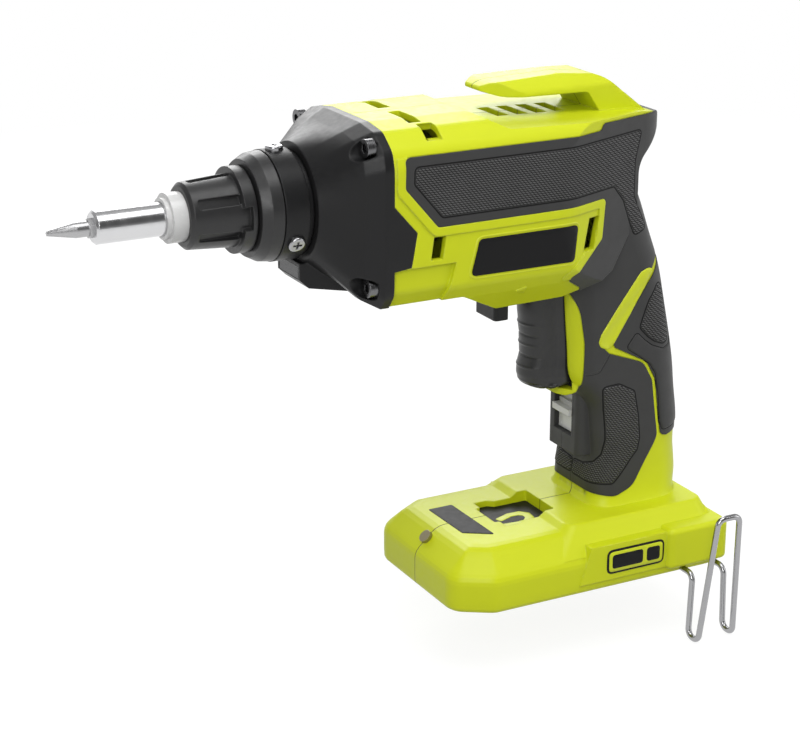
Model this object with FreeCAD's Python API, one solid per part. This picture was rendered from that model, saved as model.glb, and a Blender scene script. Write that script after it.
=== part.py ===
import FreeCAD, Part
import math
import os

# Cordless drywall screwdriver, in millimetres.
# The nose points to -X, the tool's left side to -Y, and +Z is up.
# The origin is the middle of the battery socket's mouth, in the underside of the foot.

V = FreeCAD.Vector
ALONG_X = V(1, 0, 0)
ALONG_Y = V(0, 1, 0)
ALONG_Z = V(0, 0, 1)

# General sizes
overrun = 1.0                # a cut runs this far past the face that it opens
wall = 2.6                   # moulded wall of the housing
moving_gap = 0.4             # gap between mouldings that move past each other
seat_gap = 0.15              # gap between pieces that only rest in each other
shaft_fit = 0.05             # radial clearance of a shaft that turns or slides in a bore
corner_room_share = 0.488    # of the shorter side beside a corner, that its arc may take

# Spindle line
axis_height = 166.0          # spindle and motor axis above the foot's underside

# Barrel of the housing
barrel_front = -122.0        # joint face with the gear case
barrel_length = 130.0
barrel_bottom = 130.0
barrel_height = 66.5
barrel_half_width = 35.5
barrel_edge_radius = 7.0
barrel_plan_radius = 24.0
tail_radius = 6.0
scoop_radius = 10.0
bump_radius = 5.0
# Side outline, front bottom first: shares of the barrel's length and height
barrel_side_shares = [
    (0.000, 0.000), (0.000, 1.000), (0.312, 1.000), (0.390, 0.925), (0.885, 0.900),
    (0.978, 0.866), (1.000, 0.795), (0.877, 0.600), (0.877, 0.280), (0.768, 0.000),
    (0.613, -0.135), (0.384, -0.145), (0.239, 0.000),
]
barrel_side_radii = [
    0, 0, tail_radius, tail_radius, tail_radius,
    tail_radius, tail_radius, scoop_radius, 0, 0,
    bump_radius, bump_radius, bump_radius,
]
# Left half of the cross-section, bottom first: shares of the half width and height
barrel_section_shares = [
    (0.580, -0.180), (0.860, -0.010), (0.985, 0.083), (1.000, 0.280), (1.000, 0.794),
    (0.950, 0.887), (0.740, 0.974), (0.420, 1.000),
]
# Left half of the plan, front first: shares of the length and half width
barrel_plan_shares = [
    (-0.050, 1.000), (0.580, 1.000), (0.754, 0.760), (0.946, 0.493), (1.000, 0.270),
]
barrel_plan_radii = [0, barrel_plan_radius, barrel_plan_radius, barrel_plan_radius, scoop_radius]

# Handle
handle_front = -22.0
handle_back = 25.0
handle_half_width = 18.3
handle_bottom = 22.0
handle_height = 143.0
handle_front_radius = 9.0
handle_back_radius = 14.0
# Levels: shares of the height, of the depth ahead and behind, and of the half width
handle_level_shares = [
    (0.000, 0.140, 0.000, 1.311), (0.063, -0.026, -0.030, 1.055), (0.168, -0.047, -0.036, 1.000),
    (0.294, -0.019, -0.050, 0.995), (0.364, 0.066, -0.085, 1.005), (0.413, 0.190, -0.105, 1.022),
    (0.573, 0.245, -0.205, 1.049), (0.699, 0.277, -0.300, 1.120), (0.846, 0.440, -0.480, 1.230),
    (1.000, 0.638, -0.660, 1.257),
]
handle_loft_levels = 14      # even levels that the handle is lofted through
handle_loft_degree = 3

# Lock-on switch pocket, standing proud of the handle's front
pocket_front = -25.5
pocket_depth = 14.0
pocket_half_width = 11.5
pocket_bottom = 47.5
pocket_height = 31.5
pocket_radius = 3.0

# Lip of the housing under the trigger
lip_front = -34.0
lip_radius = 18.5
lip_height = 10.0

# Foot
foot_front = -94.5
foot_rear = 29.5
foot_half_width = 39.5
foot_bevel_length = 15.0
foot_bevel_width = 9.5
foot_corner_radius = 9.0
foot_least_radius = 2.0
foot_rim_height = 14.5
foot_deck_height = 24.0
foot_slope_run = 10.0
foot_rear_slope_run = 4.0
# Side profile from the underside to the deck: shares of the deck's height and of the slope's run
foot_level_shares = [
    (0.000, 0.180), (0.030, 0.070), (0.080, 0.015), (0.200, 0.000),
    (0.497, 0.000), (0.564, 0.022), (0.626, 0.086), (0.678, 0.187),
    (0.885, 0.711), (0.948, 0.914), (0.987, 1.149), (1.000, 1.399),
]
platform_front = -55.5       # the deck rises behind here
platform_rear = 29.2
platform_half_width = 38.6
platform_low = 15.4
platform_height = 2.2        # above the deck
platform_front_run = 15.2    # runs of its sloped front, sides and rear
platform_side_run = 9.1
platform_rear_run = 4.3
platform_corner_radius = 5.0
platform_edge_radius = 1.5
side_pad_front = -41.0
side_pad_rise = 5.0          # run of the pad's slanted front end
side_pad_bottom = 4.0
side_pad_height = 15.5
side_pad_step = 0.6          # how far the pad stands out of the foot's side
rear_block_length = 29.5
rear_block_step = 3.0        # how far the rear block stands out of the foot's side
rear_block_bottom = 3.0
rear_block_height = 17.5
rear_block_radius = 3.0
rear_block_edge_radius = 2.0

# Battery socket
socket_half_length = 20.5
socket_half_width = 14.5
socket_radius = 5.0
socket_height = 46.0

# Top hook
hook_tip = -72.5
hook_length = 71.0
hook_base = 187.5
hook_height = 17.6
hook_half_width = 13.5
hook_edge_radius = 3.0
hook_bend_radius = 14.0
# Side outline of the hook, tip first: shares of its length and height
hook_side_shares = [
    (0.000, 0.800), (0.070, 0.950), (0.500, 1.000), (0.740, 0.930), (1.000, 0.080),
    (1.000, 0.000), (0.740, 0.000), (0.640, 0.600), (0.130, 0.640),
]
hook_side_radii = [
    hook_edge_radius, hook_bend_radius, hook_bend_radius, hook_bend_radius, hook_edge_radius,
    0, 0, hook_edge_radius, hook_bend_radius,
]
# Left half of the hook's plan and section, as shares of its length, height and half width
hook_plan_shares = [(0.000, 0.300), (0.210, 1.000), (0.800, 1.000), (1.000, 1.100)]
hook_plan_radii = [hook_edge_radius, hook_bend_radius, hook_bend_radius, 0]
hook_section_shares = [(1.300, 0.000), (1.000, 0.560), (1.000, 0.740), (0.620, 1.010)]
hook_section_radii = [0, hook_edge_radius, hook_edge_radius, hook_bend_radius]

# Rubber skins moulded over the housing
skin_depth = 1.4
skin_proud = 0.4
skin_radius = 2.0
frame_radius = 25.0          # bends of the lime frame beside the trigger
line_radius = 7.0            # bends of the lime line behind the grip
grip_low_radius = 9.0        # lower corners of the front grip
stripe_tip_radius = 3.5
seam_radii = [0, skin_radius, 0]
skin_reach = 60.0            # the cutting outline reaches this far past the handle
rim_width = 3.4              # raised lime rim round the upper skin
rim_height = 0.5
rim_rear_share = 0.735       # the rim ends here, as a share of the barrel's length
# Boundary points of the skins: shares of the barrel's length and height
panel_front_top_share = (0.034, 0.850)
panel_front_low_share = (0.032, 0.680)
panel_under_share = (0.136, 0.444)
panel_top_step_share = (0.700, 0.850)
tail_step_share = (0.708, 0.888)
tail_end_share = (1.190, 0.862)
window_top_share = (0.728, 0.448)
window_side_share = (0.716, 0.211)
window_low_share = (0.585, 0.005)
# Boundary points on the handle: shares of the handle's depth and height, from its foot
frame_upper_share = (-0.319, 0.720)
frame_mid_share = (-0.181, 0.629)
frame_low_share = (-0.128, 0.531)
frame_end_share = (-0.123, 0.440)
frame_turn_share = (-0.115, 0.402)
frame_corner_share = (-0.134, 0.378)
frame_under_share = (-0.196, 0.364)
seam_mid_share = (0.021, 0.446)
seam_end_share = (0.106, 0.492)
stripe_tip_share = (-0.013, 0.531)
stripe_left_share = (0.447, 0.710)
stripe_top_share = (0.681, 0.794)
stripe_right_top_share = (0.681, 0.768)
stripe_right_share = (0.455, 0.685)
stripe_inner_share = (0.134, 0.512)
line_bend_share = (0.479, 0.448)
line_knee_share = (0.581, 0.388)
line_foot_share = (0.660, 0.217)
backstrap_low_share = (0.745, 0.211)
backstrap_end_share = (1.455, 0.240)
line_width = 1.7             # lime line between the backstrap and the front grip
front_grip_rear_share = (0.606, 0.192)
front_grip_low_share = (0.394, 0.077)
front_grip_mid_share = (0.213, 0.057)
front_grip_front_share = (0.000, 0.066)
front_grip_end_share = (-0.615, 0.115)

# Vents in the barrel
vent_depth = 13.5            # the side vents are cut this far in
side_vent_share = (0.115, 0.260)
side_vent_size = (5.0, 8.6)
side_vent_lean = 1.2
rear_vent_share = (0.634, 0.166)
rear_vent_size = (5.6, 12.5)
rear_vent_lean = 3.0
shoulder_vent_share = (0.118, 0.915)
shoulder_vent_size = (6.4, 4.4)
top_vent_front_share = 0.104
top_vent_length = 5.0
top_vent_width = 17.0
top_vent_offset = 3.5
deck_vent_count = 4
deck_vent_first_share = 0.447
deck_vent_pitch = 8.5
deck_vent_length = 5.0
deck_vent_half_width = 8.0
low_panel_share = (0.197, 0.227)   # the lower front of each side lies deeper up to here
low_panel_depth = 1.6
low_panel_lean = 4.0

# Trigger
trigger_front = -48.8
trigger_length = 20.3
trigger_bottom = 77.2
trigger_height = 43.3
trigger_half_width = 11.5
trigger_edge_radius = 6.0
trigger_finger_half_width = 8.4
trigger_finger_radius = 7.0
trigger_fold_radius = 1.5
trigger_fold_share = 0.44    # the finger part widens into the rear part between these
trigger_shoulder_share = 0.62
trigger_travel = 7.0
trigger_rib_count = 4
trigger_rib_first = 3.9      # lowest finger groove above the trigger's lower end
trigger_rib_pitch = 9.3
trigger_rib_radius = 1.8
trigger_rib_depth = 0.7
# Side outline, front top first: shares of the length and height
trigger_side_shares = [
    (0.000, 0.800), (0.064, 0.550), (0.128, 0.330), (0.050, 0.000), (0.640, 0.000),
    (0.860, 0.090), (1.000, 0.170), (1.000, 1.000), (0.350, 1.000), (0.200, 0.950),
]
trigger_lower_corners = (4, 5, 6)   # places of the lower rear corners in the outline
trigger_spring_radius = 3.4
trigger_spring_wire = 0.8
trigger_spring_turns = 5
spring_height_share = 0.522  # level of the spring in the trigger's height

# Switch module
switch_length = 27.0
switch_half_width = 10.0
switch_bottom = 88.0
switch_edge_radius = 1.5
bridge_length = 15.0         # ledge over the trigger that carries the selector
bridge_height = 2.3
bridge_half_width = 9.0
selector_pin_radius = 2.0
selector_pin_height = 4.2

# Direction selector
selector_hub_radius = 4.5
selector_hub_height = 3.8
selector_arm_half_width = 3.6
selector_tip_front = -63.5
selector_tip_length = 6.5
selector_tip_half_width = 8.0
selector_tip_bottom = 109.5
selector_tip_radius = 1.5
selector_slot_depth = 13.3   # depth of the slot in the bump, under the barrel
selector_swing = 7.0         # degrees to each side

# Lock-on switch
lock_window_half_width = 6.6
lock_window_bottom = 54.5
lock_window_height = 18.0
window_liner_width = 1.6
lock_plate_half_width = 7.3
lock_plate_thickness = 1.7
lock_plate_height = 18.4
lock_face_thickness = 0.9
lock_ledge_reach = 3.4
lock_ledge_height = 2.6
lock_ledge_level = 10.0      # ledge above the lower end of the plate
lock_travel = 4.5

# Gear case
case_front = -146.0
case_front_radius = 22.5
case_flange = 3.5
case_wall = 3.2
case_fold_x = -132.0         # the cone flares out into the flange behind here
case_fold_share = 0.90       # size of the fold, as a share of the flange
case_spigot_front = -156.0
case_spigot_radius = 17.4
case_point_reach = 9.3       # side points that overlap the barrel
case_point_depth = 2.0
case_arch_half_width = 17.0  # raised middle of the case's lower edge
case_arch_rise = 2.0
case_arch_run = 9.0
# Outline of a side point: shares of its reach and of the barrel's height
case_point_shares = [
    (0.000, 0.588), (1.000, 0.428), (0.750, 0.233), (0.000, 0.222),
]
chin_front = -148.0
chin_half_width = 9.5
chin_rear_half_width = 14.0
chin_top = 145.0
chin_height = 13.0
chin_side_shares = [
    (0.000, 1.000), (0.000, 0.500), (0.130, 0.250), (0.800, 0.030), (1.000, 0.000), (1.000, 1.000),
]
case_screw_y = 28.5
case_screw_top = 190.2
case_screw_low_y = 30.0
case_screw_low = 138.5
case_screw_seat = -127.5
case_screw_pocket_radius = 4.4
case_screw_boss_radius = 5.8
case_screw_head_radius = 3.4
case_screw_head_height = 3.2
case_screw_socket = 3.2      # across the flats
case_screw_socket_depth = 1.8
case_screw_radius = 1.7
case_screw_length = 17.0

# Lamp in the chin
lens_thickness = 1.6
lens_margin = 1.3
lens_height = 5.0
lamp_board_thickness = 1.5
lamp_board_margin = 1.0

# Nose: collar seat, collar, sleeve and bush
seat_rear = -146.3
groove_length = 2.0
groove_depth = 1.2
seat_length = 11.5
seat_radius = 20.7
neck_radius = 12.2
neck_length = 8.6
guide_radius = 10.2
guide_length = 18.6
seat_bore_radius = 9.6
seat_bore_depth = 9.9        # depth of the skirt that takes the case's spigot
spindle_bush_length = 12.0
spindle_bush_outer = 9.0
seat_lip = 1.0
collar_length = 7.6
collar_radius = 20.5
collar_front_radius = 18.0
collar_dome_share = 0.45     # place of the fold in the domed face
sleeve_flange_front = -171.5
sleeve_flange_length = 4.7
sleeve_flange_radius = 16.0
sleeve_front = -190.5
sleeve_front_radius = 12.3
sleeve_rear_radius = 13.5
sleeve_bevel = 1.2
flute_count = 6
flute_length = 16.0
flute_half_width = 1.9
flute_depth = 0.7
key_length = 3.0
key_half_angle = 16.0
bush_front = -197.8
bush_flange_length = 1.6
bush_flange_radius = 7.6
bush_radius = 9.2
bush_length = 11.5
collar_screw_count = 3
collar_screw_x = -153.0
collar_screw_head_radius = 3.3
collar_screw_head_height = 2.2
collar_screw_radius = 1.4
collar_screw_length = 6.5
collar_screw_sink = 0.7
collar_screw_slot_half_width = 0.45
collar_screw_slot_length = 3.6
collar_screw_slot_depth = 1.2

# Bit and holder
bit_tip = -240.4
bit_length = 25.0
bit_flats = 6.35
bit_neck_length = 4.5
bit_neck_radius = 2.9
bit_point_length = 10.5
bit_point_radius = 0.9
bit_wing_half_width = 2.0    # where the flutes run out
bit_flute_lean = 13.0        # degrees
holder_front = -223.8
holder_rear = -193.0
holder_radius = 6.15
holder_bevel = 0.9
holder_shank_radius = 3.1
holder_shank_length = 18.0
magnet_length = 3.0

# Spindle and its clutch
spindle_radius = 6.0
dog_flange_radius = 9.0
dog_flange_front = -160.0
dog_flange_length = 3.0
spindle_tail_radius = 4.0
spindle_tail_length = 15.0
dog_count = 3
dog_height = 1.2
dog_half_width = 1.6
clutch_spring_radius = 5.6
clutch_spring_wire = 1.0
clutch_spring_turns = 3

# Planetary gear
gear_module = 0.7
sun_teeth = 12
planet_teeth = 18
planet_count = 3
gear_face = 9.0
gear_rear = -127.0
gear_addendum_share = 0.95   # of the module
gear_dedendum_share = 1.25
tooth_pitch_share = 0.40     # of the angle from tooth to tooth
tooth_tip_share = 0.22
tooth_root_share = 0.50
ring_rim = 3.0
planet_pin_radius = 1.6
carrier_radius = 14.6
carrier_thickness = 4.0
carrier_gap = 0.8
hub_radius = 8.0
hub_front = -152.0
spindle_bearing_radius = 13.0
spindle_bearing_length = 7.0

# Gearbox plate and motor
plate_radius = 27.2
plate_thickness = 4.0
plate_front = -125.6
plate_hub_radius = 12.5
front_bearing_radius = 9.5
front_bearing_length = 6.0
shaft_radius = 3.0
shaft_nose_radius = 2.0
shaft_rear = -50.0
fan_front = -113.0
fan_length = 9.0
fan_radius = 22.5
fan_hub_radius = 7.0
fan_disc = 1.5
fan_blade_count = 13
fan_blade_thickness = 1.2
stack_front = -98.0
stack_length = 30.0
stator_radius = 22.5
stator_yoke = 3.4
stator_bore_radius = 13.4
stator_tooth_count = 6
stator_tooth_half_width = 2.8
tooth_shoe_depth = 1.6
tooth_shoe_half_width = 5.2
winding_overhang = 4.0
winding_thickness = 1.8
winding_margin = 0.8         # gap between the coils and the yoke
rotor_core_radius = 11.0
magnet_thickness = 1.8
rotor_magnet_count = 4
rotor_magnet_gap = 6.0       # degrees between magnets
rear_bearing_radius = 8.0
rear_bearing_length = 5.0
rear_bearing_front = -60.0
cradle_thickness = 2.5
cradle_inset = 5.0           # cradles stand this far inside the ends of the stack
cross_half_width = 9.0

# Foot pieces
tray_front = -62.0
tray_length = 26.0
tray_half_width = 11.2
tray_narrow_half_width = 7.8
tray_narrow_length = 2.2
tray_tab_half_width = 13.2
tray_tab_length = 6.0
tray_tab_taper = 2.6
tray_depth = 2.4
tray_floor = 2.2
tray_plate_thickness = 1.5
tray_corner_radius = 0.8
tray_magnet_size = (18.0, 18.0, 4.0)
foot_screw_share = 0.55      # way up the sloped front
foot_screw_head_radius = 2.7
foot_screw_head_height = 1.6
foot_screw_radius = 1.5
foot_screw_length = 8.0
foot_screw_boss_radius = 4.0
controller_front = -83.5
controller_length = 43.5
controller_half_width = 26.0
controller_height = 7.0
controller_wall = 1.6
controller_board_thickness = 1.6
terminal_half_length = 17.0
terminal_height = 10.0
contact_count = 3
contact_pitch = 10.0
contact_thickness = 1.0
contact_half_width = 4.0
contact_length = 9.0

# Belt hook wire
wire_radius = 1.25
wire_bend = 3.3
wire_root = 10.0             # length of wire inside the rear block
wire_level = 1.5
wire_front = 9.0
wire_spacing = 15.5
wire_drop_out = 4.2          # first bend outside the block's face
wire_loop_width = 7.0
wire_low = -25.5
wire_top = 29.5
wire_top_out = 5.0           # lean of the upper end, outwards
wire_low_spread = 0.8
wire_top_inset = 2.6

# Housing screws, from the right side
boss_radius = 4.0
boss_seat = 8.0
screw_head_radius = 3.0
screw_head_height = 2.4
screw_shank_radius = 1.5
screw_shank_length = 18.0
screw_place_shares = [
    (0.213, 0.105), (0.560, 0.045), (0.631, 0.752), (0.846, 0.105),
]
handle_screw_shares = [(0.777, 0.340)]
foot_boss_inset = 6.0        # from the foot's front
foot_boss_places = [(foot_front + foot_boss_inset, foot_rim_height / 2)]


def share_point(share, start, size):
    """Point at given shares of a size, from its start."""
    return (start[0] + share[0] * size[0], start[1] + share[1] * size[1])


def on_barrel(share):
    return share_point(share, (barrel_front, barrel_bottom), (barrel_length, barrel_height))


def on_handle(share):
    depth = handle_back - handle_front
    return share_point(share, (handle_front, handle_bottom), (depth, handle_height))


def with_radius(points, radius):
    return [(u, v, radius) for u, v in points]


def with_radii(points, radii):
    return [(u, v, r) for (u, v), r in zip(points, radii)]


def mirrored(half):
    """Closed outline from its left half, with the first coordinate mirrored."""
    return half + [(-u, v, r) for u, v, r in reversed(half)]


def mirrored_across(half):
    """Closed outline from its left half, with the second coordinate mirrored."""
    return half + [(u, -v, r) for u, v, r in reversed(half)]


def inset(corners, distance):
    """Outline moved inwards by a distance; its corner radii follow."""
    if distance == 0:
        return corners
    count = len(corners)
    points = [V(u, v, 0) for u, v, r in corners]
    area = sum(points[i - 1].x * points[i].y - points[i].x * points[i - 1].y for i in range(count))
    turn = 1 if area > 0 else -1
    moved = []
    for i in range(count):
        before = points[i] - points[i - 1]
        after = points[(i + 1) % count] - points[i]
        before.normalize()
        after.normalize()
        inward_before = V(-before.y, before.x, 0) * turn
        inward_after = V(-after.y, after.x, 0) * turn
        bisector = inward_before + inward_after
        point = points[i] + bisector * (distance / (1 + inward_before.dot(inward_after)))
        convex = (before.x * after.y - before.y * after.x) * turn > 0
        radius = corners[i][2]
        if radius > 0:
            radius = max(radius - distance, 0) if convex else max(radius + distance, 0)
        moved.append((point.x, point.y, radius))
    return moved


def outline(corners, place):
    """Closed wire through (u, v, radius) corners, with tangent arcs, set in space by place."""
    count = len(corners)
    spans = []
    for i in range(count):
        here = V(corners[i][0], corners[i][1], 0)
        to_before = V(corners[i - 1][0], corners[i - 1][1], 0) - here
        after = corners[(i + 1) % count]
        to_after = V(after[0], after[1], 0) - here
        room = min(to_before.Length, to_after.Length) * corner_room_share
        half = to_before.getAngle(to_after) / 2
        radius = min(corners[i][2], room * math.tan(half))
        if radius <= 0:
            spans.append((here, here, here))
            continue
        to_before.normalize()
        to_after.normalize()
        setback = radius / math.tan(half)
        middle = to_before + to_after
        middle.normalize()
        bulge = radius / math.sin(half) - radius
        spans.append((here + to_before * setback, here + middle * bulge, here + to_after * setback))
    edges = []
    for i in range(count):
        start, middle, end = [place(p.x, p.y) for p in spans[i]]
        if start.distanceToPoint(end) > 0:
            edges.append(Part.Arc(start, middle, end).toShape())
        following = spans[(i + 1) % count][0]
        edges.append(Part.makeLine(end, place(following.x, following.y)))
    return Part.Wire(edges)


def on_side(y):
    return lambda u, v: V(u, y, v)


def on_end(x):
    return lambda u, v: V(x, u, v)


def on_plan(z):
    return lambda u, v: V(u, v, z)


def side_prism(corners, y_low, y_high):
    return Part.Face(outline(corners, on_side(y_low))).extrude(ALONG_Y * (y_high - y_low))


def end_prism(corners, x_low, x_high):
    return Part.Face(outline(corners, on_end(x_low))).extrude(ALONG_X * (x_high - x_low))


def plan_prism(corners, z_low, z_high):
    return Part.Face(outline(corners, on_plan(z_low))).extrude(ALONG_Z * (z_high - z_low))


def box(low, high):
    return Part.makeBox(high[0] - low[0], high[1] - low[1], high[2] - low[2], V(*low))


def rectangle(u_low, v_low, u_high, v_high, radius):
    low = [(u_low, v_low, radius), (u_high, v_low, radius)]
    return low + [(u_high, v_high, radius), (u_low, v_high, radius)]


def rod(radius, x_low, x_high, y=0, z=axis_height):
    """Cylinder along X."""
    return Part.makeCylinder(radius, x_high - x_low, V(x_low, y, z), ALONG_X)


def tube(outer, inner, x_low, x_high):
    return rod(outer, x_low, x_high).cut(rod(inner, x_low - overrun, x_high + overrun))


def turned(profile):
    """Solid of revolution about the spindle axis, from (x, radius) points."""
    points = [V(x, 0, axis_height + radius) for x, radius in profile]
    face = Part.Face(Part.makePolygon(points + points[:1]))
    return face.revolve(V(0, 0, axis_height), ALONG_X, 360)


def about_axis(shape, degrees):
    copy = shape.copy()
    copy.rotate(V(0, 0, axis_height), ALONG_X, degrees)
    return copy


def ring_of(shape, count):
    return [about_axis(shape, 360.0 * i / count) for i in range(count)]


def fused(shapes):
    return shapes[0].fuse(shapes[1:]).removeSplitter() if len(shapes) > 1 else shapes[0]


def right_side(shape):
    return shape.mirror(V(0, 0, 0), ALONG_Y)


def both_sides(shape):
    return shape.fuse(right_side(shape))


def barrel_side(distance):
    points = [on_barrel(share) for share in barrel_side_shares]
    return inset(with_radii(points, barrel_side_radii), distance)


def barrel_section(distance):
    size = (-barrel_half_width, barrel_height)
    points = [share_point(share, (0, barrel_bottom), size) for share in barrel_section_shares]
    return inset(mirrored(with_radius(points, barrel_edge_radius)), distance)


def barrel(distance):
    """Barrel's outer form, moved inwards by a distance."""
    reach = barrel_half_width + overrun - min(distance, 0)
    side = side_prism(barrel_side(distance), -reach, reach)
    rear = barrel_front + barrel_length + overrun - min(distance, 0)
    section = end_prism(barrel_section(distance), barrel_front - overrun + min(distance, 0), rear)
    size = (barrel_length, -barrel_half_width)
    points = [share_point(share, (barrel_front, 0), size) for share in barrel_plan_shares]
    plan = inset(mirrored_across(with_radii(points, barrel_plan_radii)), distance)
    low = barrel_bottom - barrel_height
    high = barrel_bottom + barrel_height + barrel_height
    return side.common(section).common(plan_prism(plan, low, high))


def smooth_share(table, column, place):
    """Value of a table's column at a place in its first column, on a smooth curve with no overshoot."""
    places = [row[0] for row in table]
    values = [row[column] for row in table]
    steps = [b - a for a, b in zip(places, places[1:])]
    slopes = [(b - a) / step for a, b, step in zip(values, values[1:], steps)]
    tangents = slopes[:1]
    for before, after in zip(slopes, slopes[1:]):
        tangents.append(2 * before * after / (before + after) if before * after > 0 else 0)
    tangents.append(slopes[-1])
    i = max(k for k in range(len(steps)) if place >= places[k])
    t = (place - places[i]) / steps[i]
    start = (1 + 2 * t) * (1 - t) ** 2 * values[i] + t * (1 - t) ** 2 * steps[i] * tangents[i]
    end = t * t * (3 - 2 * t) * values[i + 1] + t * t * (t - 1) * steps[i] * tangents[i + 1]
    return start + end


def handle(distance):
    """Handle's outer form: smooth loft through even levels, moved inwards by a distance."""
    depth = handle_back - handle_front
    wires = []
    for i in range(handle_loft_levels + 1):
        height_share = i / handle_loft_levels
        front_share, back_share, width_share = [
            smooth_share(handle_level_shares, column, height_share) for column in (1, 2, 3)]
        front = handle_front - front_share * depth + distance
        back = handle_back + back_share * depth - distance
        half = handle_half_width * width_share - distance
        front_radius = handle_front_radius - distance
        back_radius = handle_back_radius - distance
        corners = [
            (front, -half, front_radius), (back, -half, back_radius),
            (back, half, back_radius), (front, half, front_radius),
        ]
        wires.append(outline(corners, on_plan(handle_bottom + height_share * handle_height)))
    return Part.makeLoft(wires, True, False, False, handle_loft_degree)


def switch_pocket(distance):
    half = pocket_half_width - distance
    front = pocket_front + distance
    corners = rectangle(front, -half, pocket_front + pocket_depth, half, pocket_radius)
    return plan_prism(corners, pocket_bottom + distance, pocket_bottom + pocket_height - distance)


def lip_bottom():
    return on_handle(frame_under_share)[1]


def trigger_lip():
    """Round lip that closes the lime frame under the trigger."""
    low = lip_bottom()
    lip = Part.makeCylinder(lip_radius, lip_height, V(lip_front + lip_radius, 0, low), ALONG_Z)
    front = lip_front - overrun
    turn = on_handle(frame_turn_share)
    points = [(front, low), on_handle(frame_under_share), on_handle(frame_corner_share), turn]
    points += [(turn[0], low + lip_height + overrun), (front, low + lip_height + overrun)]
    return lip.common(side_prism(with_radius(points, skin_radius), -lip_radius, lip_radius))


def foot_plan(distance):
    half = foot_half_width
    left = [
        (foot_front, -(half - foot_bevel_width), foot_corner_radius),
        (foot_front + foot_bevel_length, -half, foot_corner_radius),
        (foot_rear, -half, foot_corner_radius),
    ]
    return [(u, v, max(r, foot_least_radius)) for u, v, r in inset(mirrored_across(left), distance)]


def foot(distance):
    """Foot's outer form: upright sides, a slope all round and a flat deck, with rounded edges."""
    wires = []
    for height_share, run_share in foot_level_shares:
        rear_shift = run_share * (foot_slope_run - foot_rear_slope_run)
        plan = foot_plan(distance + run_share * foot_slope_run)
        plan = [(u + rear_shift if u > 0 else u, v, r) for u, v, r in plan]
        level = distance + height_share * (foot_deck_height - distance - distance)
        wires.append(outline(plan, on_plan(level)))
    return Part.makeLoft(wires, True, True)


def deck_platform():
    """Raised rear part of the deck, whose sides run on from the foot's slopes."""
    half = platform_half_width
    low = rectangle(platform_front, -half, platform_rear, half, foot_corner_radius)
    half = platform_half_width - platform_side_run
    front = platform_front + platform_front_run
    rear = platform_rear - platform_rear_run
    high = rectangle(front, -half, rear, half, platform_corner_radius)
    level = foot_deck_height + platform_height
    solid = Part.makeLoft([outline(low, on_plan(platform_low)), outline(high, on_plan(level))], True, True)
    rim = [edge for edge in solid.Edges if edge.BoundBox.ZMin > level - seat_gap]
    return solid.makeFillet(platform_edge_radius, rim)


def foot_pads():
    """Side pads and the wider rear block of the foot."""
    top = side_pad_bottom + side_pad_height
    pad = [
        (side_pad_front, side_pad_bottom, 0), (side_pad_front + side_pad_rise, top, 0),
        (foot_rear - rear_block_length, top, 0), (foot_rear - rear_block_length, side_pad_bottom, 0),
    ]
    reach = foot_half_width + side_pad_step
    pads = side_prism(pad, -reach, reach)
    reach = foot_half_width + rear_block_step
    block = rectangle(foot_rear - rear_block_length, -reach, foot_rear, reach, rear_block_radius)
    block = plan_prism(block, rear_block_bottom, rear_block_bottom + rear_block_height)
    level_edges = [edge for edge in block.Edges if edge.BoundBox.ZLength < seat_gap]
    return [pads, block.makeFillet(rear_block_edge_radius, level_edges), deck_platform()]


def top_hook():
    start = (hook_tip, hook_base)
    points = [share_point(share, start, (hook_length, hook_height)) for share in hook_side_shares]
    reach = hook_half_width + hook_half_width
    side = side_prism(with_radii(points, hook_side_radii), -reach, reach)
    points = [share_point(s, (hook_tip, 0), (hook_length, -hook_half_width)) for s in hook_plan_shares]
    plan = mirrored_across(with_radii(points, hook_plan_radii))
    points = [share_point(s, (0, hook_base), (-hook_half_width, hook_height)) for s in hook_section_shares]
    section = mirrored(with_radii(points, hook_section_radii))
    hook = side.common(plan_prism(plan, hook_base - overrun, hook_base + hook_height + overrun))
    return hook.common(end_prism(section, hook_tip - overrun, hook_tip + hook_length + overrun))


def seam_corners():
    """Seam between the upper and the front grip, from the trigger's frame backwards."""
    points = [on_handle(frame_end_share), on_handle(seam_mid_share), on_handle(seam_end_share)]
    return with_radii(points, seam_radii)


def upper_skin_outline():
    tip = on_handle(stripe_tip_share)
    stripe = [on_handle(stripe_left_share), on_handle(stripe_top_share)]
    tail = on_barrel(tail_end_share)
    back = [(handle_back + skin_reach, stripe[-1][1]), (handle_back + skin_reach, tail[1]), tail]
    top = [on_barrel(tail_step_share), on_barrel(panel_top_step_share)]
    panel = [on_barrel(panel_front_top_share), on_barrel(panel_front_low_share), on_barrel(panel_under_share)]
    window = [on_barrel(window_top_share), on_barrel(window_side_share), on_barrel(window_low_share)]
    upper = on_handle(frame_upper_share)
    corners = with_radius(stripe + back + top + panel + window + [upper], skin_radius)
    frame = with_radius([on_handle(frame_mid_share), on_handle(frame_low_share)], frame_radius)
    return seam_corners() + with_radius([tip], stripe_tip_radius) + corners + frame


def line_points():
    """Middle of the lime line between the backstrap and the front grip, top first."""
    return [on_handle(line_bend_share), on_handle(line_knee_share), on_handle(line_foot_share)]


def backstrap_outline():
    stripe = [on_handle(stripe_right_top_share), on_handle(stripe_right_share), on_handle(stripe_inner_share)]
    line = [(u + line_width / 2, v) for u, v in line_points()]
    end = on_handle(backstrap_end_share)
    low = [on_handle(backstrap_low_share), end, (end[0], stripe[0][1])]
    return with_radius(stripe, skin_radius) + with_radius(line, line_radius) + with_radius(low, skin_radius)


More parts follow.
